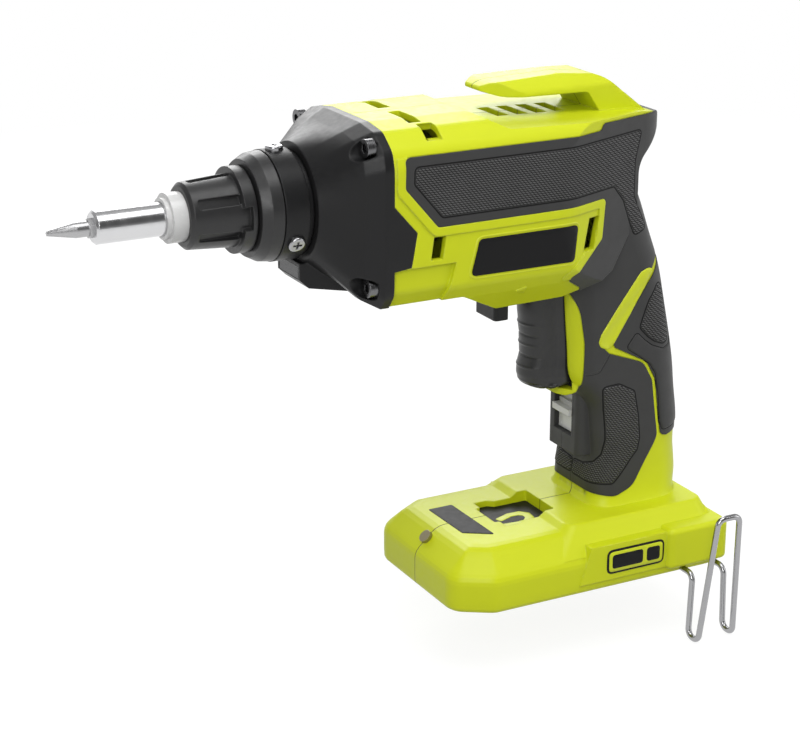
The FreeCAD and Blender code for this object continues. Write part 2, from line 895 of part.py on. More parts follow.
def front_grip_outline():
    line = with_radius([(u - line_width / 2, v) for u, v in line_points()], line_radius)
    rear = [on_handle(front_grip_rear_share), on_handle(front_grip_low_share)]
    low = [on_handle(front_grip_mid_share), on_handle(front_grip_front_share)]
    end = on_handle(front_grip_end_share)
    under = on_handle(frame_under_share)
    frame = [(end[0], under[1]), under, on_handle(frame_corner_share), on_handle(frame_turn_share)]
    low = with_radius(rear + low, grip_low_radius)
    return seam_corners() + line + low + with_radius([end] + frame, skin_radius)


def skin_rim():
    """Raised rim of the left side, beside the front and lower edges of the upper skin."""
    band = barrel(-rim_height).cut(barrel(rim_height))
    reach = barrel_half_width + skin_reach
    outer = side_prism(inset(upper_skin_outline(), -rim_width), -reach, 0)
    window_low = on_barrel(window_low_share)[1]
    rear = barrel_front + rim_rear_share * barrel_length
    top = on_barrel(panel_front_top_share)[1]
    room = box((barrel_front, -reach, window_low), (rear, 0, top))
    return band.common(outer).common(room).cut(side_prism(upper_skin_outline(), -reach, 0))


def gripped_form(distance):
    return barrel(distance).fuse([handle(distance), switch_pocket(distance)])


def rubber_skins():
    """Three rubber skins of the left side, by name."""
    skin = gripped_form(-skin_proud).cut(gripped_form(skin_depth))
    outlines = {
        "upper_grip": upper_skin_outline(),
        "backstrap_grip": backstrap_outline(),
        "front_grip": front_grip_outline(),
    }
    reach = barrel_half_width + skin_reach
    skins = {name: skin.common(side_prism(corners, -reach, 0)) for name, corners in outlines.items()}
    skins["front_grip"] = skins["front_grip"].fuse(window_liner()).removeSplitter()
    return skins


def window_liner():
    """Rubber that lines the left half of the lock-on switch's window, through the pocket's wall."""
    half = lock_window_half_width + window_liner_width
    low = lock_window_bottom - window_liner_width
    high = lock_window_bottom + lock_window_height + window_liner_width
    return box((pocket_front, -half, low), (pocket_front + wall, 0, min(high, lip_bottom())))


def screw_places():
    barrel_places = [on_barrel(share) for share in screw_place_shares]
    handle_places = [on_handle(share) for share in handle_screw_shares]
    return barrel_places + handle_places + foot_boss_places


def cavity():
    """Hollow inside the housing, open at the front for the gear case and below for the battery."""
    inner = barrel(wall).fuse([handle(wall), switch_pocket(wall), foot(wall)])
    mouth = end_prism(barrel_section(wall), barrel_front - overrun, barrel_front + barrel_height / 2)
    low = barrel_bottom + wall
    high = barrel_bottom + barrel_height - wall
    reach = barrel_half_width
    mouth = mouth.common(box(
        (barrel_front - overrun, -reach, low), (barrel_front + wall + overrun, reach, high)))
    socket = rectangle(
        -socket_half_length, -socket_half_width, socket_half_length, socket_half_width, socket_radius)
    return inner.fuse([mouth, plan_prism(socket, -overrun, socket_height)])


def slanted_cut(start, size, lean, y_low, y_high):
    """Vent cut through the side: an upright slot whose top leans back."""
    corners = [
        (start[0], start[1], 0), (start[0] + size[0], start[1], 0),
        (start[0] + size[0] + lean, start[1] + size[1], 0), (start[0] + lean, start[1] + size[1], 0),
    ]
    return side_prism(corners, y_low, y_high)


def vent_cuts():
    """Vents of the left side and of the top."""
    out = -(barrel_half_width + overrun)
    deep = -(barrel_half_width - vent_depth)
    cuts = [
        slanted_cut(on_barrel(side_vent_share), side_vent_size, side_vent_lean, out, deep),
        slanted_cut(on_barrel(rear_vent_share), rear_vent_size, rear_vent_lean, out, deep),
    ]
    x, z = on_barrel(shoulder_vent_share)
    width, height = shoulder_vent_size
    cuts.append(box((x, out, z), (x + width, deep, z + height)))
    top = barrel_bottom + barrel_height
    x = barrel_front + top_vent_front_share * barrel_length
    cuts.append(box(
        (x, -(top_vent_offset + top_vent_width), top - wall - overrun),
        (x + top_vent_length, -top_vent_offset, top + overrun)))
    for i in range(deck_vent_count):
        x = barrel_front + deck_vent_first_share * barrel_length + i * deck_vent_pitch
        cuts.append(box(
            (x, -deck_vent_half_width, top - barrel_edge_radius - wall),
            (x + deck_vent_length, deck_vent_half_width, top)))
    return cuts


def low_panel_cut():
    """Deeper lower front of the left side, under the side vent."""
    x, z = on_barrel(low_panel_share)
    bottom = barrel_bottom - overrun
    corners = [
        (barrel_front - overrun, bottom, 0), (x - low_panel_lean, bottom, 0),
        (x, z, 0), (barrel_front - overrun, z, 0),
    ]
    slab = side_prism(corners, -(barrel_half_width + overrun), 0)
    rear = barrel_front + barrel_length
    core = end_prism(barrel_section(low_panel_depth), barrel_front - barrel_height, rear)
    return slab.cut(core)


def trigger_opening():
    """Opening that the trigger sweeps, from rest to its rear stop."""
    half = trigger_half_width + moving_gap
    points = trigger_points()
    low = [points[i] for i in trigger_lower_corners]
    low = [(u + trigger_travel + moving_gap, v - moving_gap) for u, v in low]
    top = trigger_bottom + trigger_height + moving_gap
    front = trigger_front - overrun
    corners = [(front, low[0][1])] + low + [(low[-1][0], top), (front, top)]
    return side_prism(with_radius(corners, 0), -half, half)


def selector_slot():
    swing = math.radians(selector_swing)
    reach = selector_pivot_x() - selector_tip_front
    half = selector_tip_half_width + reach * math.sin(swing) + moving_gap + moving_gap
    low = barrel_bottom - selector_slot_depth
    return box(
        (selector_tip_front - moving_gap - overrun, -half, low),
        (selector_tip_front + selector_tip_length + moving_gap + overrun, half, bridge_top()))


def selector_room():
    """Room for the selector's arm and for the switch ledge under it, between barrel and handle."""
    rear = switch_front() + overrun
    high = bridge_top() + selector_hub_height + moving_gap
    half = selector_hub_radius + selector_arm_half_width
    arm = box((selector_tip_front - moving_gap, -half, bridge_top() - seat_gap), (rear, half, high))
    half = bridge_half_width + moving_gap
    ledge = box(
        (switch_front() - bridge_length - moving_gap, -half, bridge_bottom() - moving_gap),
        (rear, half, bridge_top() + moving_gap))
    return arm.fuse(ledge)


def lock_window():
    return box(
        (pocket_front - overrun, -lock_window_half_width, lock_window_bottom),
        (pocket_front + wall + overrun, lock_window_half_width, lock_window_bottom + lock_window_height))


def tray_corners(distance):
    """Plan of the tray: a narrow front, a tab on each side and a long rear part."""
    tab_front = tray_front + tray_narrow_length
    tab_rear = tab_front + tray_tab_length
    left = [
        (tray_front, -tray_narrow_half_width), (tab_front, -tray_narrow_half_width),
        (tab_front, -tray_tab_half_width), (tab_rear, -tray_tab_half_width),
        (tab_rear + tray_tab_taper, -tray_half_width), (tray_front + tray_length, -tray_half_width),
    ]
    return inset(mirrored_across(with_radius(left, tray_corner_radius)), distance)


def tray_level():
    """Height of the tray's floor, under its plate."""
    return foot_deck_height - tray_depth - tray_plate_thickness


def motor_cradles():
    """Ribs inside the barrel that hold the stator and the rear bearing."""
    inside = barrel(wall / 2)
    ribs = []
    top = barrel_bottom + barrel_height
    for x in (stack_front + cradle_inset, stack_front + stack_length - cradle_inset - cradle_thickness):
        slab = box(
            (x, -barrel_half_width, barrel_bottom), (x + cradle_thickness, barrel_half_width, top))
        hole = rod(stator_radius + seat_gap, x - overrun, x + cradle_thickness + overrun)
        ribs.append(slab.common(inside).cut(hole))
    x_low = rear_bearing_front
    x_high = rear_bearing_front + rear_bearing_length
    reach = barrel_half_width
    low = barrel_bottom
    upright = box((x_low, -cross_half_width, low), (x_high, cross_half_width, top))
    level = box(
        (x_low, -reach, axis_height - cross_half_width), (x_high, reach, axis_height + cross_half_width))
    cross = upright.fuse([level, rod(rear_bearing_radius + wall, x_low, x_high)]).common(inside)
    ribs.append(cross.cut(rod(rear_bearing_radius, x_low - overrun, x_high + overrun)))
    return ribs


def case_screw_places():
    left = [(-case_screw_y, case_screw_top), (-case_screw_low_y, case_screw_low)]
    return left + [(-y, z) for y, z in left]


def housing_shell():
    """Whole moulded housing, before it is parted into halves."""
    outer = barrel(0).fuse([handle(0), switch_pocket(0), trigger_lip(), foot(0), top_hook()] + foot_pads())
    shell = outer.cut(cavity())
    bosses = []
    for x, z in screw_places():
        reach = barrel_half_width + foot_half_width
        bosses.append(Part.makeCylinder(boss_radius, reach + reach, V(x, -reach, z), ALONG_Y))
    for y, z in case_screw_places():
        length = case_screw_length
        bosses.append(rod(case_screw_boss_radius - seat_gap, barrel_front, barrel_front + length, y, z))
    rear = tray_front + tray_length
    half = tray_tab_half_width + wall
    floor = tray_level() - tray_floor
    bosses.append(box((tray_front - wall, -half, floor), (rear + wall, half, foot_deck_height - overrun)))
    x, z = foot_screw_base()
    inwards = foot_screw_direction() * -1
    boss = Part.makeCylinder(foot_screw_boss_radius, foot_screw_length, V(x, 0, z), inwards)
    inner_solid = outer.common(Part.makeCompound(bosses + [boss]))
    rims = both_sides(skin_rim())
    shell = shell.fuse([inner_solid, rims] + motor_cradles())
    cuts = [trigger_opening(), selector_slot(), selector_room(), lock_window()]
    cuts.append(plan_prism(tray_corners(0), tray_level(), foot_deck_height + platform_height + overrun))
    for cut in vent_cuts() + [low_panel_cut(), case_side_point(overrun)]:
        cuts.append(both_sides(cut))
    for y, z in case_screw_places():
        cuts.append(rod(case_screw_radius, barrel_front - overrun, barrel_front + case_screw_length, y, z))
    cuts.append(belt_hook_wire())
    cuts.append(foot_screw_shank())
    return shell.cut(cuts)


def screw_hole_cuts():
    """Head recess and shank hole of each housing screw, from the right side."""
    cuts = []
    reach = barrel_half_width + foot_half_width
    for x, z in screw_places():
        head = Part.makeCylinder(screw_head_radius + seat_gap, reach, V(x, boss_seat, z), ALONG_Y)
        start = boss_seat - screw_shank_length
        shank = Part.makeCylinder(screw_shank_radius, screw_shank_length + overrun, V(x, start, z), ALONG_Y)
        cuts.append(head.fuse(shank))
    return cuts


def housing_screws():
    screws = []
    for x, z in screw_places():
        head = Part.makeCylinder(screw_head_radius, screw_head_height, V(x, boss_seat, z), ALONG_Y)
        start = boss_seat - screw_shank_length
        shank = Part.makeCylinder(screw_shank_radius, screw_shank_length, V(x, start, z), ALONG_Y)
        screws.append(head.fuse(shank).removeSplitter())
    return Part.makeCompound(screws)


def halves(shape):
    reach = barrel_length + barrel_length
    left = box((-reach, -reach, -reach), (reach, 0, reach))
    right = box((-reach, 0, -reach), (reach, reach, reach))
    return shape.common(left), shape.common(right)


def housing_and_skins():
    skins = rubber_skins()
    openings = [trigger_opening(), selector_slot(), selector_room(), lock_window()]
    left_skins = {}
    right_skins = {}
    holes = screw_hole_cuts()
    for name, skin in skins.items():
        whole = skin.cut(openings)
        left_skins["left_" + name] = whole
        right_skins["right_" + name] = right_side(whole).cut(holes)
    all_skins = [s.copy() for s in skins.values()] + [right_side(s) for s in skins.values()]
    shell = housing_shell().cut(all_skins).cut(holes)
    left, right = halves(shell)
    pieces = {"left_housing": left, "right_housing": right}
    pieces.update(left_skins)
    pieces.update(right_skins)
    return pieces


def case_outline(distance):
    """Outline of the gear case's flange, which matches the barrel's front."""
    size = (-barrel_half_width, barrel_height)
    shares = [share for share in barrel_section_shares if share[1] > 0]
    points = [share_point(share, (0, barrel_bottom), size) for share in shares]
    foot_y = points[0][0] * barrel_section_shares[1][0] / shares[0][0]
    lobe = [(-(case_arch_half_width + case_arch_run), barrel_bottom, 0), (foot_y, barrel_bottom, 0)]
    arch = [(-case_arch_half_width, barrel_bottom + case_arch_rise, 0)]
    return inset(mirrored(arch + lobe + with_radius(points, barrel_edge_radius)), distance)


def matching_circle(wire, radius, x):
    """Circle about the spindle axis, split at the same angles as a wire's corners."""
    angles = [math.atan2(v.Point.z - axis_height, v.Point.y) for v in wire.OrderedVertexes]
    edges = []
    for i, start in enumerate(angles):
        end = angles[(i + 1) % len(angles)]
        while end - start > math.pi:
            end -= 2 * math.pi
        while start - end > math.pi:
            end += 2 * math.pi
        points = []
        for angle in (start, (start + end) / 2, end):
            points.append(V(x, radius * math.cos(angle), axis_height + radius * math.sin(angle)))
        edges.append(Part.Arc(*points).toShape())
    return Part.Wire(edges)


def case_cone(distance, x_front, radius, x_rear):
    flange = case_outline(distance)
    share = case_fold_share
    small = [(u * share, axis_height + (v - axis_height) * share, r * share) for u, v, r in flange]
    rim = outline(flange, on_end(x_rear))
    fold = outline(small, on_end(case_fold_x + distance))
    return Part.makeLoft([matching_circle(rim, radius, x_front), fold, rim], True, True)


def case_side_point(reach):
    """Pointed plate of the gear case that overlaps the left side of the barrel."""
    size = (case_point_reach, barrel_height)
    points = [share_point(share, (barrel_front, barrel_bottom), size) for share in case_point_shares]
    if reach > 0:
        front = barrel_front - reach
        points = [(front, points[0][1])] + points + [(front, points[-1][1])]
    plate = side_prism(with_radius(points, 0), -(barrel_half_width + overrun), 0)
    rear = barrel_front + case_point_reach + overrun
    front = barrel_front - overrun - reach
    ring = end_prism(barrel_section(0), front, rear).cut(
        end_prism(barrel_section(case_point_depth), front - overrun, rear + overrun))
    return ring.common(plate)


def chin():
    length = barrel_front - chin_front
    start = (chin_front, chin_top - chin_height)
    points = [share_point(share, start, (length, chin_height)) for share in chin_side_shares]
    solid = side_prism(with_radius(points, 0), -barrel_half_width, barrel_half_width)
    left = [(chin_front - overrun, -chin_half_width, 0), (barrel_front, -chin_rear_half_width, 0)]
    low = chin_top - chin_height - overrun
    return solid.common(plan_prism(mirrored_across(left), low, chin_top + overrun))


def lens_box(depth, margin):
    """Room for the lamp's lens in the front of the chin."""
    half = chin_half_width - lens_margin - margin
    top = chin_top - lens_margin - margin
    low = chin_top - lens_margin - lens_height + margin
    return box((chin_front - overrun, -half, low), (chin_front + depth, half, top))


def gear_case():
    rim = barrel_front - case_flange
    flange = end_prism(case_outline(0), rim, barrel_front)
    outer = case_cone(0, case_front, case_front_radius, rim).fuse([flange, chin()])
    spigot = rod(case_spigot_radius, case_spigot_front, case_front + overrun)
    inner_front = case_front + case_wall
    inner = case_cone(case_wall, inner_front, case_front_radius - case_wall, rim)
    inner = inner.fuse(end_prism(case_outline(case_wall), rim, barrel_front + overrun))
    bosses = []
    for y, z in case_screw_places():
        bosses.append(rod(case_screw_boss_radius, case_front, barrel_front, y, z))
    solid = outer.cut(inner).fuse(outer.common(Part.makeCompound(bosses)))
    points = [both_sides(case_side_point(0))]
    solid = solid.fuse([spigot] + points)
    cuts = [rod(spindle_bearing_radius, case_spigot_front - overrun, inner_front + overrun)]
    for y, z in case_screw_places():
        cuts.append(rod(case_screw_pocket_radius, case_front - overrun, case_screw_seat, y, z))
        cuts.append(rod(case_screw_radius, case_screw_seat - overrun, barrel_front + overrun, y, z))
    for screw in collar_screws().Solids:
        cuts.append(screw)
    cuts.append(lens_box(lens_thickness + lamp_board_thickness, 0))
    return solid.cut(cuts)


def gear_case_screws():
    screws = []
    for y, z in case_screw_places():
        head = rod(case_screw_head_radius, case_screw_seat - case_screw_head_height, case_screw_seat, y, z)
        shank = rod(case_screw_radius, case_screw_seat, case_screw_seat + case_screw_length, y, z)
        top = case_screw_seat - case_screw_head_height
        socket = hexagon(case_screw_socket, top - overrun, top + case_screw_socket_depth)
        socket.translate(V(0, y, z - axis_height))
        screws.append(head.fuse(shank).removeSplitter().cut(socket))
    return Part.makeCompound(screws)


def lamp_lens():
    half = chin_half_width - lens_margin - seat_gap
    top = chin_top - lens_margin - seat_gap
    low = chin_top - lens_margin - lens_height + seat_gap
    return box((chin_front, -half, low), (chin_front + lens_thickness, half, top))


def lamp_board():
    half = chin_half_width - lens_margin - lamp_board_margin
    top = chin_top - lens_margin - lamp_board_margin
    low = chin_top - lens_margin - lens_height + lamp_board_margin
    x = chin_front + lens_thickness
    return box((x, -half, low), (x + lamp_board_thickness, half, top))


def collar_seat():
    """Ring on the case's spigot, with a neck that carries the collar, the sleeve and the bush."""
    front = seat_rear - seat_length
    neck_front = front - neck_length
    guide_front = neck_front - guide_length
    skirt = case_spigot_radius + shaft_fit
    skirt_front = seat_rear - seat_bore_depth
    groove = seat_rear - groove_length
    bush_rear = guide_front + seat_lip + spindle_bush_length
    lip_radius = spindle_radius + moving_gap
    body = turned([
        (seat_rear, skirt), (seat_rear, seat_radius - groove_depth), (groove, seat_radius - groove_depth),
        (groove, seat_radius), (front, seat_radius), (front, neck_radius), (neck_front, neck_radius),
        (neck_front, guide_radius), (guide_front, guide_radius), (guide_front, lip_radius),
        (guide_front + seat_lip, lip_radius), (guide_front + seat_lip, spindle_bush_outer),
        (bush_rear, spindle_bush_outer), (bush_rear, seat_bore_radius), (skirt_front, seat_bore_radius),
        (skirt_front, skirt),
    ])
    return body.cut(collar_screws().Solids)


def collar_screws():
    """Radial pan-head screws through the collar seat into the case's spigot."""
    base = axis_height + seat_radius - collar_screw_sink
    foot_point = V(collar_screw_x, 0, base)
    head = Part.makeCylinder(collar_screw_head_radius, collar_screw_head_height, foot_point, ALONG_Z)
    head = head.makeFillet(collar_screw_head_height / 3, [head.Edges[0]])
    shank = Part.makeCylinder(collar_screw_radius, collar_screw_length, foot_point, ALONG_Z * -1)
    top = base + collar_screw_head_height
    narrow = collar_screw_slot_half_width
    wide = collar_screw_slot_length / 2
    slots = []
    for x_half, y_half in ((narrow, wide), (wide, narrow)):
        slots.append(box(
            (collar_screw_x - x_half, -y_half, top - collar_screw_slot_depth),
            (collar_screw_x + x_half, y_half, top + overrun)))
    screw = head.fuse(shank).removeSplitter().cut(slots)
    return Part.makeCompound(ring_of(screw, collar_screw_count))


def depth_collar():
    front = seat_rear - seat_length - neck_length + moving_gap
    rear = seat_rear - seat_length - moving_gap
    bore = neck_radius + shaft_fit
    middle = front + (rear - front) * collar_dome_share
    middle_radius = collar_front_radius + (collar_radius - collar_front_radius) * (1 - collar_dome_share / 2)
    return turned([
        (rear, bore), (rear, collar_radius), (middle, middle_radius),
        (front, collar_front_radius), (front, bore),
    ])


def depth_sleeve():
    """Fluted nose sleeve with its keyed flange."""
    flange_rear = sleeve_flange_front + sleeve_flange_length
    bore = guide_radius + shaft_fit
    bush_rear = bush_front + bush_length
    body = turned([
        (flange_rear, bore), (flange_rear, sleeve_flange_radius), (sleeve_flange_front, sleeve_flange_radius),
        (sleeve_flange_front, sleeve_rear_radius), (sleeve_front + sleeve_bevel, sleeve_front_radius),
        (sleeve_front, sleeve_front_radius - sleeve_bevel), (sleeve_front, bush_radius),
        (bush_rear, bush_radius), (bush_rear, bore),
    ])
    flute_low = axis_height + sleeve_front_radius - flute_depth
    flute_high = axis_height + sleeve_flange_radius
    flute_front = sleeve_flange_front - flute_length
    slot = plan_prism(
        rectangle(
            flute_front, -flute_half_width, sleeve_flange_front, flute_half_width, flute_half_width / 2),
        flute_low, flute_high)
    key_front = sleeve_flange_front - overrun
    key_rear = sleeve_flange_front + key_length
    key_radius = sleeve_flange_radius + overrun
    key = turned([
        (key_front, sleeve_rear_radius), (key_rear, sleeve_rear_radius),
        (key_rear, key_radius), (key_front, key_radius),
    ])
    reach = sleeve_flange_radius + sleeve_flange_radius
    half = reach * math.tan(math.radians(key_half_angle))
    corners = [(0, axis_height, 0), (-reach, axis_height - half, 0), (-reach, axis_height + half, 0)]
    wedge = end_prism(corners, key_front, sleeve_flange_front + sleeve_flange_length)
    cuts = ring_of(slot, flute_count) + [key.common(wedge)]
    return body.cut(cuts)


def guide_bush():
    bore = holder_radius + shaft_fit + shaft_fit
    flange_rear = bush_front + bush_flange_length
    return turned([
        (bush_front, bore), (bush_front, bush_flange_radius), (flange_rear, bush_flange_radius),
        (flange_rear, bush_radius), (bush_front + bush_length, bush_radius), (bush_front + bush_length, bore),
    ])


def spindle_bush():
    front = seat_rear - seat_length - neck_length - guide_length + seat_lip
    return tube(spindle_bush_outer, spindle_radius + shaft_fit, front, front + spindle_bush_length)


def hexagon(flats, x_low, x_high):
    radius = flats / math.sqrt(3)
    points = []
    for i in range(7):
        angle = math.radians(60 * i)
        points.append(V(x_low, radius * math.sin(angle), axis_height + radius * math.cos(angle)))
    return Part.Face(Part.makePolygon(points)).extrude(ALONG_X * (x_high - x_low))


def screw_bit():
    """Phillips insert bit: hexagon shank, round neck and a cross point."""
    point_rear = bit_tip + bit_point_length
    neck_rear = point_rear + bit_neck_length
    shank = hexagon(bit_flats, neck_rear, bit_tip + bit_length)
    neck = turned([
        (bit_tip, 0), (bit_tip, bit_point_radius), (point_rear, bit_neck_radius),
        (neck_rear, bit_neck_radius), (neck_rear, 0),
    ])
    quarter = box(
        (bit_tip - overrun, bit_wing_half_width, axis_height + bit_wing_half_width),
        (point_rear, bit_neck_radius + overrun, axis_height + bit_neck_radius + overrun))
    quarter.rotate(V(point_rear, 0, axis_height), V(0, 1, -1), -bit_flute_lean)
    return neck.cut(ring_of(quarter, 4)).fuse(shank)


def bit_holder():
    bit_rear = bit_tip + bit_length
    body = turned([
        (holder_front, 0), (holder_front, holder_radius - holder_bevel),
        (holder_front + holder_bevel, holder_radius),
        (holder_rear, holder_radius), (holder_rear, holder_shank_radius),
        (holder_rear + holder_shank_length, holder_shank_radius), (holder_rear + holder_shank_length, 0),
    ])
    socket = hexagon(bit_flats, holder_front - overrun, bit_rear)
    magnet = rod(bit_flats / 2, bit_rear - overrun, bit_rear + magnet_length)
    return body.cut([socket, magnet])


def holder_magnet():
    rear = bit_tip + bit_length
    return rod(bit_flats / 2, rear, rear + magnet_length)


def dogs(x_low, x_high, turn):
    """Clutch dogs: short blocks round the axis."""
    middle = (clutch_spring_radius + clutch_spring_wire + dog_flange_radius) / 2
    block = box(
        (x_low, -dog_half_width, axis_height + clutch_spring_radius + clutch_spring_wire),
        (x_high, dog_half_width, axis_height + middle + (dog_flange_radius - middle) / 2))
    return [about_axis(dog, turn) for dog in ring_of(block, dog_count)]


def spindle():
    flange_rear = dog_flange_front + dog_flange_length
    tail_rear = flange_rear + spindle_tail_length
    shank_rear = holder_rear + holder_shank_length
    body = turned([
        (holder_rear, holder_shank_radius), (holder_rear, spindle_radius), (dog_flange_front, spindle_radius),
        (dog_flange_front, dog_flange_radius), (flange_rear, dog_flange_radius),
        (flange_rear, spindle_tail_radius), (tail_rear, spindle_tail_radius),
        (tail_rear, 0), (shank_rear, 0), (shank_rear, holder_shank_radius),
    ])
    return fused([body] + dogs(flange_rear - overrun, flange_rear + dog_height, 0))


def coil(middle, length, radius, wire, turns):
    """Coil spring along X from a point on its axis."""
    helix = Part.makeHelix(length / turns, length, radius)
    start = V(radius, 0, 0)
    section = Part.Wire(Part.makeCircle(wire / 2, start, ALONG_Y))
    spring = Part.Wire(helix).makePipeShell([section], True, True)
    spring.rotate(V(0, 0, 0), ALONG_Y, 90)
    spring.translate(middle)
    return spring


def clutch_spring():
    start = dog_flange_front + dog_flange_length + clutch_spring_wire
    length = hub_front - start - clutch_spring_wire
    place = V(start, 0, axis_height)
    return coil(place, length, clutch_spring_radius, clutch_spring_wire, clutch_spring_turns)


def tooth_points(teeth, tip, root, half_tip, half_root, phase):
    points = []
    for i in range(teeth):
        middle = phase + 2 * math.pi * i / teeth
        for radius, offset in ((root, -half_root), (tip, -half_tip), (tip, half_tip), (root, half_root)):
            points.append((radius, middle + offset))
    return points


def gear(teeth, x_low, x_high, phase, inner=False):
    """Solid toothed disc about the spindle axis, with straight flanks."""
    pitch_radius = teeth * gear_module / 2
    step = 2 * math.pi / teeth
    sign = -1 if inner else 1
    tip = pitch_radius + sign * gear_addendum_share * gear_module
    root = pitch_radius - sign * gear_dedendum_share * gear_module
    half_tip = step * tooth_tip_share / 2
    half_root = step * tooth_root_share / 2
    if inner:
        gap_tip = step * (1 - tooth_tip_share) / 2
        gap_root = step * (1 - tooth_root_share) / 2
        points = tooth_points(teeth, root, tip, gap_root, gap_tip, phase + step / 2)
    else:
        points = tooth_points(teeth, tip, root, half_tip, half_root, phase)
    corners = [V(x_low, r * math.sin(a), axis_height + r * math.cos(a)) for r, a in points]
    return Part.Face(Part.makePolygon(corners + corners[:1])).extrude(ALONG_X * (x_high - x_low))


def planet_distance():
    return (sun_teeth + planet_teeth) * gear_module / 2


def planet_gears():
    """Planets in mesh with the sun, each beside its own pin."""
    planets = []
    step = 2 * math.pi / planet_teeth
    blank = gear(planet_teeth, gear_rear - gear_face, gear_rear, step / 2)
    bore = rod(planet_pin_radius + shaft_fit, gear_rear - gear_face - overrun, gear_rear + overrun)
    planet = blank.cut(bore)
    planet.translate(ALONG_Z * planet_distance())
    return [about_axis(planet, -360.0 * i / planet_count) for i in range(planet_count)]


def sun_pinion():
    return gear(sun_teeth, gear_rear - gear_face, gear_rear, 0).cut(
        rod(shaft_nose_radius, gear_rear - gear_face - overrun, gear_rear + overrun))


def ring_teeth():
    return sun_teeth + planet_teeth + planet_teeth


def ring_gear():
    outer = ring_teeth() * gear_module / 2 + gear_dedendum_share * gear_module + ring_rim
    front = gear_rear - gear_face
    return rod(outer, front, plate_front).cut(
        gear(ring_teeth(), front - overrun, plate_front + overrun, 0, inner=True))


def planet_carrier():
    rear = gear_rear - gear_face - carrier_gap
    front = rear - carrier_thickness
    body = turned([
        (rear, 0), (rear, carrier_radius), (front, carrier_radius),
        (front, hub_radius), (hub_front, hub_radius),
        (hub_front, spindle_tail_radius + shaft_fit), (rear - overrun, spindle_tail_radius + shaft_fit),
        (rear - overrun, 0),
    ])
    pin = rod(planet_pin_radius, rear - overrun, gear_rear)
    pin.translate(ALONG_Z * planet_distance())
    pins = [about_axis(pin, -360.0 * i / planet_count) for i in range(planet_count)]
    return fused([body] + pins + dogs(hub_front - dog_height, hub_front + overrun, 180.0 / dog_count))


def spindle_bearing():
    rear = case_front + case_wall
    return tube(spindle_bearing_radius, hub_radius + shaft_fit, rear - spindle_bearing_length, rear)


def gearbox_plate():
    rear = plate_front + plate_thickness
    bearing_rear = rear + front_bearing_length
    return turned([
        (plate_front, shaft_radius + moving_gap), (plate_front, plate_radius), (rear, plate_radius),
        (rear, plate_hub_radius), (bearing_rear, plate_hub_radius), (bearing_rear, front_bearing_radius),
        (rear, front_bearing_radius), (rear, shaft_radius + moving_gap),
    ])


def front_motor_bearing():
    front = plate_front + plate_thickness
    return tube(front_bearing_radius, shaft_radius + shaft_fit, front, front + front_bearing_length)


def rear_motor_bearing():
    return tube(rear_bearing_radius, shaft_radius + shaft_fit, rear_bearing_front,
                rear_bearing_front + rear_bearing_length)


def motor_shaft():
    return turned([
        (gear_rear - gear_face, 0), (gear_rear - gear_face, shaft_nose_radius),
        (gear_rear, shaft_nose_radius),
        (gear_rear, shaft_radius), (shaft_rear, shaft_radius), (shaft_rear, 0),
    ])


def cooling_fan():
    rear = fan_front + fan_length
    hub = rod(fan_hub_radius, fan_front, rear)
    disc = rod(fan_radius, fan_front, fan_front + fan_disc)
    blade = box(
        (fan_front, -fan_blade_thickness / 2, axis_height + fan_hub_radius - overrun),
        (rear, fan_blade_thickness / 2, axis_height + fan_radius - overrun))
    body = fused([hub, disc] + ring_of(blade, fan_blade_count))
    return body.cut(rod(shaft_radius, fan_front - overrun, rear + overrun))


def motor_rotor():
    return tube(rotor_core_radius, shaft_radius, stack_front, stack_front + stack_length)


def rotor_magnets():
    rear = stack_front + stack_length
    sweep = 360.0 / rotor_magnet_count - rotor_magnet_gap
    profile = [
        V(stack_front, 0, axis_height + rotor_core_radius), V(rear, 0, axis_height + rotor_core_radius),
        V(rear, 0, axis_height + rotor_core_radius + magnet_thickness),
        V(stack_front, 0, axis_height + rotor_core_radius + magnet_thickness),
    ]
    face = Part.Face(Part.makePolygon(profile + profile[:1]))
    magnet = face.revolve(V(0, 0, axis_height), ALONG_X, sweep)
    return Part.makeCompound(ring_of(magnet, rotor_magnet_count))


def tooth_stem(x_low, x_high, half_width):
    yoke_inner = stator_radius - stator_yoke
    return box(
        (x_low, -half_width, axis_height + stator_bore_radius + tooth_shoe_depth + seat_gap),
        (x_high, half_width, axis_height + yoke_inner - winding_margin))


def motor_stator():
    """Laminated stator: yoke ring with shoed teeth."""
    rear = stack_front + stack_length
    yoke_inner = stator_radius - stator_yoke
    yoke = tube(stator_radius, yoke_inner, stack_front, rear)
    stem = box(
        (stack_front, -stator_tooth_half_width, axis_height + stator_bore_radius),
        (rear, stator_tooth_half_width, axis_height + yoke_inner + stator_yoke / 2))
    shoe = box(
        (stack_front, -tooth_shoe_half_width, axis_height),
        (rear, tooth_shoe_half_width, axis_height + stator_bore_radius + tooth_shoe_depth))
    body = fused([yoke] + ring_of(stem, stator_tooth_count) + ring_of(shoe, stator_tooth_count))
    return body.cut(rod(stator_bore_radius, stack_front - overrun, rear + overrun))


def motor_windings():
    """Copper coil round each stator tooth, with its end turns."""
    front = stack_front - winding_overhang
    rear = stack_front + stack_length + winding_overhang
    outer = tooth_stem(front, rear, stator_tooth_half_width + winding_thickness)
    core = tooth_stem(stack_front, stack_front + stack_length, stator_tooth_half_width)
    return Part.makeCompound(ring_of(outer.cut(core), stator_tooth_count))


def trigger_points():
    start = (trigger_front, trigger_bottom)
    return [share_point(share, start, (trigger_length, trigger_height)) for share in trigger_side_shares]


